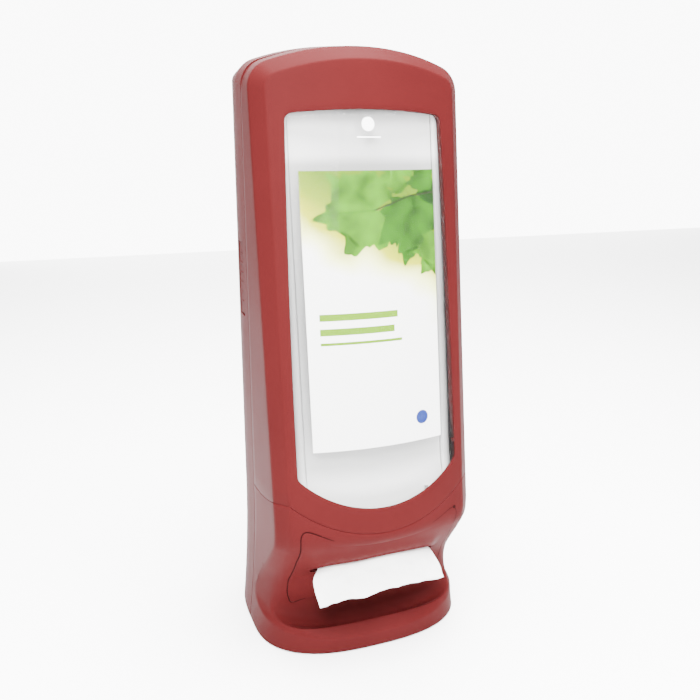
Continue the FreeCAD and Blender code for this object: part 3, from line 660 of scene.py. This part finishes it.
def lower_rows():
    rows = []
    for station in lower_stations():
        row = face_row(station[1], station[2], station[5])
        mirrored = list(reversed(row))
        strip, index, start = right_strip(station, mirrored)
        left = [Vector((-p.x, p.y, p.z)) for p in strip]
        total = len(row) - 1
        middle = []
        for step in range(FACE_COLUMNS + 1):
            place = lerp(index + 1, total - index - 1, step / FACE_COLUMNS)
            i = min(int(place), total - 1)
            middle.append(row[i].lerp(row[i + 1], place - i))
        middle[0] = Vector((-start.x, start.y, start.z))
        middle[-1] = start
        rows.append(left + middle + list(reversed(strip)))
    tuck = []
    for p in rows[0]:
        side = smooth(92, 101, abs(p.x))
        tuck.append(p + Vector((math.copysign(TUCK * side, -p.x), TUCK * (1 - side), FLANGE)))
    return [tuck] + rows


MOUTH_HALF, MOUTH_LOW, MOUTH_TOP = 78.0, 60.0, 124.0  # the housing is open behind the mouth plate


def open_mouth(thing):
    """A rectangular opening in the housing's face, hidden behind the mouth plate's edges."""
    data = bmesh.new()
    data.from_mesh(thing.data)
    planes = [((-MOUTH_HALF, 0, 0), (1, 0, 0)), ((MOUTH_HALF, 0, 0), (1, 0, 0)),
              ((0, 0, MOUTH_LOW), (0, 0, 1)), ((0, 0, MOUTH_TOP), (0, 0, 1))]
    for point, normal in planes:
        geometry = data.verts[:] + data.edges[:] + data.faces[:]
        bmesh.ops.bisect_plane(data, geom=geometry, plane_co=Vector(point) * MM, plane_no=normal)
    inside = [f for f in data.faces if abs(f.calc_center_median().x) < MOUTH_HALF * MM
              and MOUTH_LOW * MM < f.calc_center_median().z < MOUTH_TOP * MM]
    bmesh.ops.delete(data, geom=inside, context="FACES")
    data.to_mesh(thing.data)
    data.free()


SEAM_GAP_IN = 0.6  # the painted shade of the joint stands this far inside the shells' skin
SEAM_GAP_FOOT, SEAM_GAP_HEAD = -0.1, 0.9  # and reaches from here to here above the lower shell's edge


def make_seam_gap(edge):
    """A strip of painted shade at the bottom of the narrow joint between the two front shells: a dark sheet
    where the joint is in shade.
    """
    rows = [[], []]
    for p in edge:
        side = smooth(92, 101, abs(p.x))
        for row, up in zip(rows, (SEAM_GAP_FOOT, SEAM_GAP_HEAD)):
            row.append(p + Vector((math.copysign(SEAM_GAP_IN * side, -p.x), SEAM_GAP_IN * (1 - side), up)))
    mesh("seam_gap_shade", [rows], "housing", GAP_SHADE)


SIDE_TUCK = 2.3  # the band stands this far inside the walls' outside
SIDE_REACH = 3.5  # and runs this far to the front and rear of the joint


def make_side_gap():
    """A band inside the walls, so that no light shows through the joint round the sides and top. Its
    near-black colour is painted shade.
    """
    heights = [lerp(4, OUTLINE[0][1], i / 60) for i in range(61)]
    path = [(SIDE_TUCK - half_width(z), z) for z in heights]
    for station in OUTLINE:
        if station[4] is None:
            p = wall_point(station, 1, 0, 0)
            path.append((p.x + SIDE_TUCK * station[2], p.z + SIDE_TUCK * station[3]))
    path += [(half_width(z) - SIDE_TUCK, z) for z in reversed(heights)]
    band = [[Vector((x, y, z)) for y in (-SIDE_REACH, SIDE_REACH)] for x, z in path]
    mesh("side_gap_shade", [band], "housing", GAP_SHADE)


def make_lower():
    make_side_gap()
    rows = lower_rows()
    make_seam_gap(rows[1])
    thing = mesh("lower_shell", [rows], "housing", RED)
    open_mouth(thing)
    thing = join([thing], "lower_shell")
    thicken(thing, SHELL, 0.35)
    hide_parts("lower_housing")


make_lower()


# -------- mouth plate

def plate_outline():
    """From the bottom middle to the left, over the top and back, by round corners."""
    half = [(0, 50.5), (-30, 49.8), (-56, 48.3), (-72, 45.6), (-81, 43.2), (-84.5, 44.6), (-86.3, 50),
            (-88.2, 58), (-88.7, 74), (-87.3, 86), (-86.4, 98), (-86.2, 110), (-85.2, 123), (-86.0, 138.5),
            (-85.8, 145), (-83.8, 149.3), (-80.4, 150.4), (-75.5, 149.2), (-66, 145.2), (-50, 138.5),
            (-25, 133), (0, 131.5)]
    left = spline([(x, 0, z) for x, z in half], 84)
    return left + [Vector((-p.x, 0, p.z)) for p in reversed(left[1:-1])]


def lip_z(x):
    """The slot's upper lip: it climbs from both ends and waves a little."""
    ends = min(1.0, abs(x) / SLOT_HALF)
    return 95.0 + 9.0 * (1 - ends ** 4) + 1.3 * math.sin(x / 13.5 + 0.9) * (1 - ends ** 2)


def slot_outline(count):
    """The slot, with as many points as the plate's outline and from the same side."""
    points = []
    for step in range(count):
        angle = -math.pi / 2 - 2 * math.pi * step / count
        c, s = math.cos(angle), math.sin(angle)
        x = SLOT_HALF * math.copysign(abs(c) ** 0.35, c)
        top = lip_z(x) - SLOT_Z
        z = SLOT_Z + (top if s > 0 else 4.4) * math.copysign(abs(s) ** 0.55, s)
        points.append(Vector((x, 0, z)))
    return points


def plate_y(x, z, proud):
    """The plate follows the front, with a rolled bead over the slot and a soft hood above it."""
    over = z - lip_z(x)
    ends = 1 - smooth(SLOT_HALF - 8, SLOT_HALF + 6, abs(x))
    bead = 1.6 * math.exp(-((over - 1.7) / 1.5) ** 2) * ends
    hood = 3.2 * math.exp(-((over - 8) / 9) ** 2) * ends if over > 0 else 0
    sill = 2.0 * smooth(88, 74, z) * ends
    shown = 1 - 0.93 * smooth(-76, -52, x) * smooth(120, 134, z)
    return front_y(x, z) - proud * shown - bead - hood - sill


PLATE_GAP, PLATE_UNDER = 1.1, 0.4  # the joint's width, and how far it runs under the plate
PLATE_GAP_PROUD, KEY_PROUD = 0.4, 0.5  # how far the painted-shade surfaces stand ahead of the front


def make_plate_gap():
    """A strip of painted shade for the joint round the mouth plate, laid just ahead of the front. Over the
    hood it all but closes, except at the left end.
    """
    outline = plate_outline()
    rows = [[], []]
    for before, p, after in zip([outline[-1]] + outline, outline, outline[1:] + [outline[0]]):
        way = (after - before).normalized()
        out = Vector((-way.z, 0, way.x)) * (1 if way.z * p.x <= way.x * (p.z - 95) else -1)
        wide = PLATE_GAP * (1 - 0.95 * smooth(-74, -48, p.x) * smooth(112, 132, p.z))
        for row, gap in zip(rows, (wide, -PLATE_UNDER)):
            q = p + out * gap
            row.append(Vector((q.x, front_y(q.x, q.z) - PLATE_GAP_PROUD, q.z)))
    mesh("mouth_gap_shade", [rows], "housing", GAP_SHADE, ring=True)


KEY_X, KEY_Z, KEY_R = 83.0, 150.0, 1.7


def make_key_hole():
    """The small round hole for the key, under the cover's seam, drawn as a dark disc of painted shade just
    ahead of the front. The CAD's lock is 1 mm lower.
    """
    rows = []
    for radius in (KEY_R, KEY_R * 0.5, 0.01):
        turns = [2 * math.pi * i / 24 for i in range(24)]
        places = [(KEY_X + radius * math.cos(t), KEY_Z + radius * math.sin(t)) for t in turns]
        rows.append([Vector((x, front_y(x, z) - KEY_PROUD, z)) for x, z in places])
    mesh("key_hole_shade", [rows], "housing", GAP_SHADE, ring=True)


make_plate_gap()
make_key_hole()


def make_plate():
    outer = plate_outline()
    inner = slot_outline(len(outer))
    rows = []
    for deep in (2.5, 0.6):
        rows.append([Vector((p.x, plate_y(p.x, p.z, 1.0) + deep, p.z)) for p in outer])
    for share in (0.012, 0.04, 0.1, 0.2, 0.3, 0.4, 0.5, 0.6, 0.7, 0.78, 0.85, 0.9, 0.94, 0.97, 1.0):
        row = []
        for a, b in zip(outer, inner):
            x, z = lerp(a.x, b.x, share), lerp(a.z, b.z, share)
            row.append(Vector((x, plate_y(x, z, 1.0), z)))
        rows.append(row)
    for deep in (1.0, 4.0, 9.0):
        rows.append([Vector((p.x * (1 - 0.002 * deep), plate_y(p.x, p.z, 0.8) + deep,
                             lerp(p.z, SLOT_Z, 0.05 * min(deep, 2)))) for p in inner])
    plate = mesh("mouth_skin", [rows], "housing", RED, ring=True)
    plate = join([plate], "mouth_skin")
    thicken(plate, 1.2)
    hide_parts("mouth_plate")


make_plate()


# -------- napkin

# share of the width and z along the napkin's free edge
FREE_EDGE = [(0.0, 64.4), (0.08, 64.9), (0.2, 66.7), (0.32, 67.8), (0.44, 70.0), (0.56, 71.8), (0.68, 70.8),
             (0.8, 70.2), (0.9, 70.1), (1.0, 69.6)]
FREE_SAMPLES = [(p.x, p.y) for p in spline([(u, z, 0) for u, z in FREE_EDGE], 90)]


def free_z(u):
    for (u0, z0), (u1, z1) in zip(FREE_SAMPLES, FREE_SAMPLES[1:]):
        if u <= u1:
            return lerp(z0, z1, (u - u0) / (u1 - u0))
    return FREE_SAMPLES[-1][1]


def napkin_point(u, v):
    """The napkin's leading fold: u across, v from inside the slot over its sill to the free edge."""
    lip_x = lerp(-63, 64, u)
    lip = Vector((lip_x, front_y(lip_x, lip_z(lip_x)) - 0.8, lip_z(lip_x) - 1.6))
    top = Vector((lerp(-61, 62, u), -66, lip.z - 3.5))
    bow = 2.0 * math.sin(math.pi * u)
    swell = Vector((lerp(-71.6, 67.5, u), lerp(-94.5, -99, u) - bow, lerp(89.5, 87, u)))
    free = Vector((lerp(-68, 72.5, u), -104 - bow, free_z(u)))
    line = spline([top, lip, swell, free], 30)
    place = v * 30
    i = min(int(place), 29)
    p = line[i].lerp(line[i + 1], place - i)
    soft = smooth(0.36, 0.7, v)
    crease = 0.0
    for px, slope, wide, high in ((0.18, 0.55, 0.07, 1.3), (0.36, -0.4, 0.06, -1.2), (0.46, 0.5, 0.05, 1.3),
                                  (0.62, 0.7, 0.06, -1.0), (0.78, 0.5, 0.05, 1.2), (0.93, -0.5, 0.05, -1.2)):
        crease += high * math.exp(-((u - px - slope * (v - 0.7)) / wide) ** 2)
    rumple = (noise.noise(Vector((u * 6, v * 3.5, 2.0))) * 2.6
              + noise.noise(Vector((u * 16, v * 9, 7.0))) * 1.5)
    p.y -= soft * (crease + rumple)
    p.z += soft * 0.3 * (crease + rumple) * smooth(1.0, 0.8, v)
    return p


def make_napkin():
    across, down = 90, 44
    rows = []
    for step in range(down + 1):
        rows.append([napkin_point(i / across, step / down) for i in range(across + 1)])
    fold = [[p + Vector((0, 0.45, -0.25)) for p in rows[-1]]]
    back = []
    for step in range(down):
        v = 1 - (step + 1) / down
        apart = Vector((0, 1.1 * smooth(0, 0.1, 1 - v), -0.9))
        back.append([napkin_point(i / across, v) + apart for i in range(across + 1)])
    thing = mesh("napkin", [rows + fold + back], "housing", PAPER, 180)
    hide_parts("napkin_tongue")


make_napkin()


# -------- window, card and panel

LENS_BACK, LENS_THICK, LENS_RINGS = 0.6, 1.6, 14


def make_lens(inside):
    """The bowed window, which fills a closed outline a little behind the face."""
    middle = Vector((0, 0, sum(p.z for p in inside) / len(inside)))
    rows = []
    for step in range(LENS_RINGS + 1):
        share = 1 - step / LENS_RINGS * 0.985
        rows.append([Vector((lerp(middle.x, p.x, share), 0, lerp(middle.z, p.z, share))) for p in inside])
    for row in rows:
        for p in row:
            p.y = face_y(p.x, p.z) + LENS_BACK
    lens = mesh("lens", [rows], "cover", LENS, ring=True)
    filler = bmesh.new()
    filler.from_mesh(lens.data)
    bmesh.ops.holes_fill(filler, edges=[e for e in filler.edges if e.is_boundary], sides=0)
    loops = [f for f in filler.faces if len(f.verts) > 4 and f.calc_area() > 0.004]
    bmesh.ops.delete(filler, geom=loops, context="FACES")
    bmesh.ops.recalc_face_normals(filler, faces=filler.faces)
    filler.to_mesh(lens.data)
    filler.free()
    for polygon in lens.data.polygons:
        polygon.use_smooth = True
    solid = lens.modifiers.new("thickness", "SOLIDIFY")
    solid.thickness = LENS_THICK * MM
    solid.offset = -1
    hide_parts("window_lens")


def shrunk(outline, gap):
    """An outline moved inwards."""
    count = len(outline)
    result = []
    for i, p in enumerate(outline):
        ahead, behind = outline[(i + 1) % count], outline[i - 1]
        way = Vector((ahead.z - behind.z, 0, behind.x - ahead.x)).normalized()
        result.append(p + way * gap)
    return result


make_lens(shrunk(WINDOW, -0.5))


def strip_sheet(name, xs, zs, depth, thick, material, node=None, foot=None):
    """A sheet on a grid of x and z, set behind the face by depth(x, z). foot(x) shapes its lower edge."""
    rows = []
    for share in zs:
        heights = [share if foot is None else lerp(foot(x), zs[-1], share / zs[-1]) for x in xs]
        rows.append([Vector((x, face_y(x, z) + depth(x, z), z)) for x, z in zip(xs, heights)])
    thing = mesh(name, [rows], "cover", material, 60)
    if thick:
        solid = thing.modifiers.new("thickness", "SOLIDIFY")
        solid.thickness = thick * MM
        solid.offset = 1
    if node:
        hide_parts(node)
    return thing


def spread(low, high, count):
    return [lerp(low, high, i / count) for i in range(count + 1)]


PANEL_HALF, WING_HALF = 75.0, 88.5
FOOT_STEP = 2.5  # the panel's foot passes in front of the lock's strike


def filled_ramp(material, stops):
    """A colour ramp through (position, colour) stops, of which the first is at 0 and the last at 1."""
    ramp = add(material, "ShaderNodeValToRGB")
    ramp.color_ramp.elements[0].color = (*stops[0][1], 1)
    ramp.color_ramp.elements[1].color = (*stops[-1][1], 1)
    for position, colour in stops[1:-1]:
        ramp.color_ramp.elements.new(position).color = (*colour, 1)
    return ramp


def height_ramp(material, main, low, high, stops):
    """Colour by height in metres on the object."""
    place = add(material, "ShaderNodeTexCoord")
    split = add(material, "ShaderNodeSeparateXYZ")
    span = add(material, "ShaderNodeMapRange", From_Min=low, From_Max=high)
    ramp = filled_ramp(material, stops)
    link(material, place, "Object", split, "Vector")
    link(material, split, "Z", span, "Value")
    link(material, span, "Result", ramp, "Fac")
    link(material, ramp, "Color", main, "Base Color")


# share of the panel's height and how light it is there: painted shade, with a painted shadow band under the
# card, darker beside the card, lighter above the napkin stack and darker towards the window's top
PANEL_PAINTED_SHADE = ((0, 0.80), (0.08, 0.74), (0.14, 0.44), (0.20, 0.34), (0.50, 0.27), (0.80, 0.33),
               (0.855, 0.40), (0.88, 0.70), (0.95, 0.58), (1, 0.42))


def panel_look():
    """Milky plastic with painted shade by height: a painted shadow under the card, grey beside the card where
    the napkin stack stands behind, and darker towards the window's top.
    """
    material, main = shader("panel_milk_painted_shade", (0.8, 0.8, 0.79), 0.5, IOR=1.3)
    height_ramp(material, main, 0.15, 0.56,
                [(share, (light, light, light * 0.99)) for share, light in PANEL_PAINTED_SHADE])
    roughen(material, main, 1400, 0.1)
    return material


def panel_depth(x, z):
    """The panel's middle stands back; its side wings come forward to the window's edges."""
    wing = smooth(PANEL_HALF, PANEL_HALF + 2.2, abs(x))
    middle = 16.9 - bulge(0) + bulge(x) + 7.0
    outer = 12.0 + 8.0 * smooth(PANEL_HALF + 4, WING_HALF + 4, abs(x))
    return lerp(middle, outer, wing) - FOOT_STEP * smooth(205, 185, z)


def make_panel():
    xs = spread(-WING_HALF, -PANEL_HALF - 3, 5) + spread(-PANEL_HALF - 2.2, -PANEL_HALF, 5)
    xs += spread(-PANEL_HALF + 1.5, PANEL_HALF - 1.5, 40)
    xs += spread(PANEL_HALF, PANEL_HALF + 2.2, 5) + spread(PANEL_HALF + 3, WING_HALF, 5)
    strip_sheet("back_panel", xs, spread(0, 556, 44), panel_depth, 1.2, panel_look(),
                "backing_panel", lambda x: seam_front(x) + 7)


CARD_HALF, CARD_LOW, CARD_TOP, CARD_BACK = 69.5, 229.1, 496.6, 2.9


def card_print():
    """White card whose upper part is printed with a soft out-of-focus green."""
    material, main = shader("printed_card", (0.9, 0.9, 0.89), 0.5, IOR=1.12)
    place = add(material, "ShaderNodeTexCoord")
    split = add(material, "ShaderNodeSeparateXYZ")
    blur = add(material, "ShaderNodeTexNoise", Scale=16.0, Detail=1.5)
    link(material, place, "Object", split, "Vector")
    link(material, place, "Object", blur, "Vector")
    rise = add(material, "ShaderNodeMath", operation="MULTIPLY_ADD")
    rise.inputs[1].default_value = 0.07
    rise.inputs[2].default_value = -0.035
    wobble = add(material, "ShaderNodeMath", operation="ADD")
    slant = add(material, "ShaderNodeMath", operation="MULTIPLY_ADD")
    slant.inputs[1].default_value = 0.45
    link(material, blur, "Fac", rise, 0)
    link(material, split, "X", slant, 0)
    link(material, split, "Z", slant, 2)
    link(material, slant, 0, wobble, 0)
    link(material, rise, 0, wobble, 1)
    span = add(material, "ShaderNodeMapRange", From_Min=0.388, From_Max=0.476)
    link(material, wobble, 0, span, "Value")
    ramp = filled_ramp(material, ((0.0, (0.90, 0.90, 0.89)), (0.22, (0.74, 0.78, 0.34)),
                                  (0.42, (0.36, 0.38, 0.004)), (0.7, (0.15, 0.22, 0.001)),
                                  (1.0, (0.08, 0.15, 0.0005))))
    link(material, span, "Result", ramp, "Fac")
    link(material, ramp, "Color", main, "Base Color")
    return material


INK_AHEAD = 0.12  # flat print stands this far ahead of the card


def decal(name, outline, material, ahead=INK_AHEAD):
    """A thin printed patch on the card, filled from its outline in x and z."""
    data = bmesh.new()
    corners = [data.verts.new((x * MM, 0, z * MM)) for x, z in outline]
    data.faces.new(corners)
    bmesh.ops.triangulate(data, faces=data.faces[:])
    for cut in range(-72, 73, 4):
        geometry = data.verts[:] + data.edges[:] + data.faces[:]
        bmesh.ops.bisect_plane(data, geom=geometry, plane_co=(cut * MM, 0, 0), plane_no=(1, 0, 0))
    for v in data.verts:
        x, z = v.co.x / MM, v.co.z / MM
        v.co.y = (face_y(x, z) + CARD_BACK - ahead) * MM
    bmesh.ops.dissolve_degenerate(data, dist=0.00002, edges=data.edges[:])
    for face in data.faces:
        face.normal_update()
        if face.normal.y > 0:
            face.normal_flip()
    return finished(name, data, "cover", material, 180)


LOBES = ((0, 1.0, 30), (46, 0.93, 27), (-50, 0.90, 27), (92, 0.72, 27), (-97, 0.70, 27), (138, 0.45, 24),
         (-142, 0.45, 24))


def leaf_outline(cx, cz, size, turn):
    """A broad leaf with pointed lobes and toothed edges."""
    points = []
    for step in range(190):
        angle = -172 + 344 * step / 189
        reach = 0.56 * (1 - smooth(120, 172, abs(angle))) + 0.04
        for at, long, half in LOBES:
            off = abs(angle - at) / half
            if off < 1:
                reach = max(reach, lerp(long, 0.46, off ** 1.6 * 0.5 + off * 0.5))
        teeth = 1 + 0.17 * (abs((angle / 7.5) % 2 - 1) - 0.5) + 0.03 * math.sin(angle / 2.3)
        a = math.radians(angle + turn)
        points.append((cx + size * reach * teeth * math.sin(a), cz + size * reach * teeth * math.cos(a)))
    return points


def clipped(points):
    """Keep a printed shape on the card."""
    inner = CARD_HALF - 0.3
    kept = []
    for x, z in points:
        point = (min(inner, max(-inner, x)), min(CARD_TOP - 0.3, max(CARD_LOW, z)))
        if not kept or math.dist(kept[-1], point) > 0.15:
            kept.append(point)
    if math.dist(kept[0], kept[-1]) < 0.15:
        kept.pop()
    return kept


def disc(x, z, radius):
    """A plain round mark, which stands in for the printed ones."""
    turns = [i * math.pi / 18 for i in range(36)]
    return [(x + radius * math.cos(t), z + radius * math.sin(t)) for t in turns]


GREENS = {"leaf_dark": (0.004, 0.026, 0.0005), "leaf_mid": (0.015, 0.072, 0.0003),
          "leaf_light": (0.038, 0.135, 0.0003), "twig": (0.012, 0.014, 0.005)}
# x and z of each leaf's root, its size, the way it points and its green
LEAVES = ((32, 492, 28, -60, "leaf_light"), (64, 488, 26, -100, "leaf_mid"), (76, 462, 30, -110, "leaf_dark"),
          (29, 440, 17, 150, "leaf_mid"), (0, 459.5, 56, -98, "leaf_light"), (42, 452, 45, 190, "leaf_mid"),
          (72, 420, 30, -140, "leaf_light"))
# x and z along each twig; the first two are wood and the others are leaf veins
TWIGS = (((69, 475), (41, 472), (3, 459.5)), ((41, 472), (26, 493)), ((3, 459.5), (-52, 456)),
         ((3, 459.5), (-22, 421)), ((3, 459.5), (-29, 489)), ((41, 472), (40, 453), (26, 412)))
# left, right, bottom and top of the bars that stand for lines of print
BARS = ((-57, 23, 356.5, 363), (-57, 19, 342.5, 349), (-57, 27, 333, 335.6))
LENS_PRINT = 0.45  # the window's print stands this far behind the face


def make_leaves():
    shades = {}
    for name, colour in GREENS.items():
        material, main = shader(name, colour, 0.5, IOR=1.12)
        vary_colour(material, main, 60, tuple(0.5 * c for c in colour), tuple(1.6 * c for c in colour))
        shades[name] = material
    for number, (x, z, size, turn, shade) in enumerate(LEAVES):
        outline = clipped(leaf_outline(x, z, size, turn))
        decal(f"leaf_{number + 1}", outline, shades[shade], 0.10 + 0.03 * number)
    for number, line in enumerate(TWIGS):
        wide = 0.7 if number == 0 else 0.3
        upper = [(x, z + wide) for x, z in line]
        lower = [(x, z - wide) for x, z in reversed(line)]
        decal(f"twig_{number + 1}", clipped(upper + lower), shades["twig" if number < 2 else "leaf_mid"], 0.4)


def make_card():
    strip_sheet("card", spread(-CARD_HALF, CARD_HALF, 40), spread(CARD_LOW, CARD_TOP, 60),
                lambda x, z: CARD_BACK, 0, card_print(), "ad_card")
    make_leaves()
    ink = shader("green_ink", (0.10, 0.21, 0.002), 0.5, IOR=1.12)[0]
    for number, (x0, x1, z0, z1) in enumerate(BARS):
        strip_sheet(f"print_bar_{number + 1}", spread(x0, x1, 24), [z0, z1],
                    lambda x, z: CARD_BACK - INK_AHEAD, 0, ink)
    blue = shader("blue_ink", (0.008, 0.02, 0.13), 0.5, IOR=1.12)[0]
    decal("print_mark", disc(47, 252.5, 7.0), blue)
    white = shader("white_ink", (0.95, 0.95, 0.95), 0.5, IOR=1.12)[0]
    decal("lens_mark", disc(-1.5, 539, 6.5), white, CARD_BACK - LENS_PRINT)
    strip_sheet("lens_line", spread(-13, 11, 8), [526.5, 527.8], lambda x, z: LENS_PRINT, 0, white)


make_panel()
make_card()


# -------- what the frame itself shows

LOOKS = {
    RED: ("rear_housing", "release_button_left", "release_button_right", "lens_clips", "panel_screws"),
    GREY: ("magazine_channel", "magazine_floor", "follower_plate"),
    RUBBER: ("rubber_feet",),
    IRON: ("follower_weight",),
    SPRING: ("latch_spring_left", "latch_spring_right"),
    CHROME: ("lock_barrel", "lock_core"),
    COAT: ("base_plate",),
    PAPER: ("napkin_pack_1", "napkin_pack_2", "napkin_pack_3", "napkin_pack_4", "napkin_pack_5"),
    ZINC: ("magazine_bracket_lower", "magazine_bracket_upper", "cover_hooks", "hook_rail_left",
           "hook_rail_right", "latch_hook_left", "latch_hook_right", "latch_bracket_left",
           "latch_bracket_right", "cover_catches", "lock_cam", "lock_strike", "base_screws", "base_nuts",
           "joint_plates", "joint_screws")}
for look, nodes in LOOKS.items():
    for node in nodes:
        piece = bpy.data.objects[node]
        piece.data.materials.clear()
        piece.data.materials.append(look)


# -------- camera, light and floor

CAMERA_PLACE = (-0.2853, -0.7568, 0.5235)  # metres
CAMERA_DOWN, CAMERA_TURN = 14.964, -20.656  # degrees below level, and round from straight on
CAMERA_LENS, CAMERA_SHIFT = 39.55, (0.0048, -0.0049)


def make_camera():
    camera = bpy.data.objects.new("camera", bpy.data.cameras.new("camera"))
    show(camera)
    camera.location = CAMERA_PLACE
    camera.rotation_euler = (math.radians(90 - CAMERA_DOWN), 0, math.radians(CAMERA_TURN))
    camera.data.lens = CAMERA_LENS
    camera.data.sensor_width = 36
    camera.data.shift_x, camera.data.shift_y = CAMERA_SHIFT
    bpy.context.scene.camera = camera


def softbox(name, place, target, wide, high, power):
    light = bpy.data.objects.new(name, bpy.data.lights.new(name, "AREA"))
    light.data.shape = "RECTANGLE"
    light.data.size = wide
    light.data.size_y = high
    light.data.energy = power
    light.location = place
    light.rotation_euler = (Vector(target) - Vector(place)).to_track_quat("-Z", "Y").to_euler()
    show(light)


def glow(name, colour, strength):
    material = bpy.data.materials.new(name)
    material.use_nodes = True
    tree = material.node_tree
    tree.nodes.remove(tree.nodes["Principled BSDF"])
    lamp = tree.nodes.new("ShaderNodeEmission")
    lamp.inputs["Color"].default_value = (*colour, 1)
    lamp.inputs["Strength"].default_value = strength
    tree.links.new(lamp.outputs["Emission"], tree.nodes["Material Output"].inputs["Surface"])
    return material


def stage_plane(name, corners, material):
    thing = bpy.data.objects.new(name, bpy.data.meshes.new(name))
    thing.data.from_pydata(corners, [], [(0, 1, 2, 3)])
    show(thing)
    thing.data.materials.append(material)


# name, place, target, width and height in metres, and watts
SOFTBOXES = (("top", (0.1, -0.15, 2.4), (0.1, -0.15, 0), 2.2, 2.2, 680),
             ("key", (-0.42, -0.85, 1.02), (-0.06, 0, 0.52), 0.4, 0.35, 36),
             ("fill", (-0.12, -1.15, 0.72), (0, -0.1, 0.05), 0.5, 0.4, 16))
WORLD_LIGHT, BACKDROP_GLOW = 0.85, 10.0


def make_studio():
    world = bpy.data.worlds.new("studio")
    bpy.context.scene.world = world
    world.use_nodes = True
    background = world.node_tree.nodes["Background"]
    background.inputs["Color"].default_value = (1, 1, 1, 1)
    background.inputs["Strength"].default_value = WORLD_LIGHT
    stage_plane("floor", [(-4, -4, 0), (4, -4, 0), (4, 3, 0), (-4, 3, 0)],
                shader("floor", (0.95, 0.95, 0.95), 0.8)[0])
    stage_plane("backdrop", [(-0.7, 3, 0), (4, 3, 0), (4, 3, 3), (-0.7, 3, 3)],
                glow("backdrop", (1, 1, 1), BACKDROP_GLOW))
    for box in SOFTBOXES:
        softbox(*box)


make_camera()
make_studio()
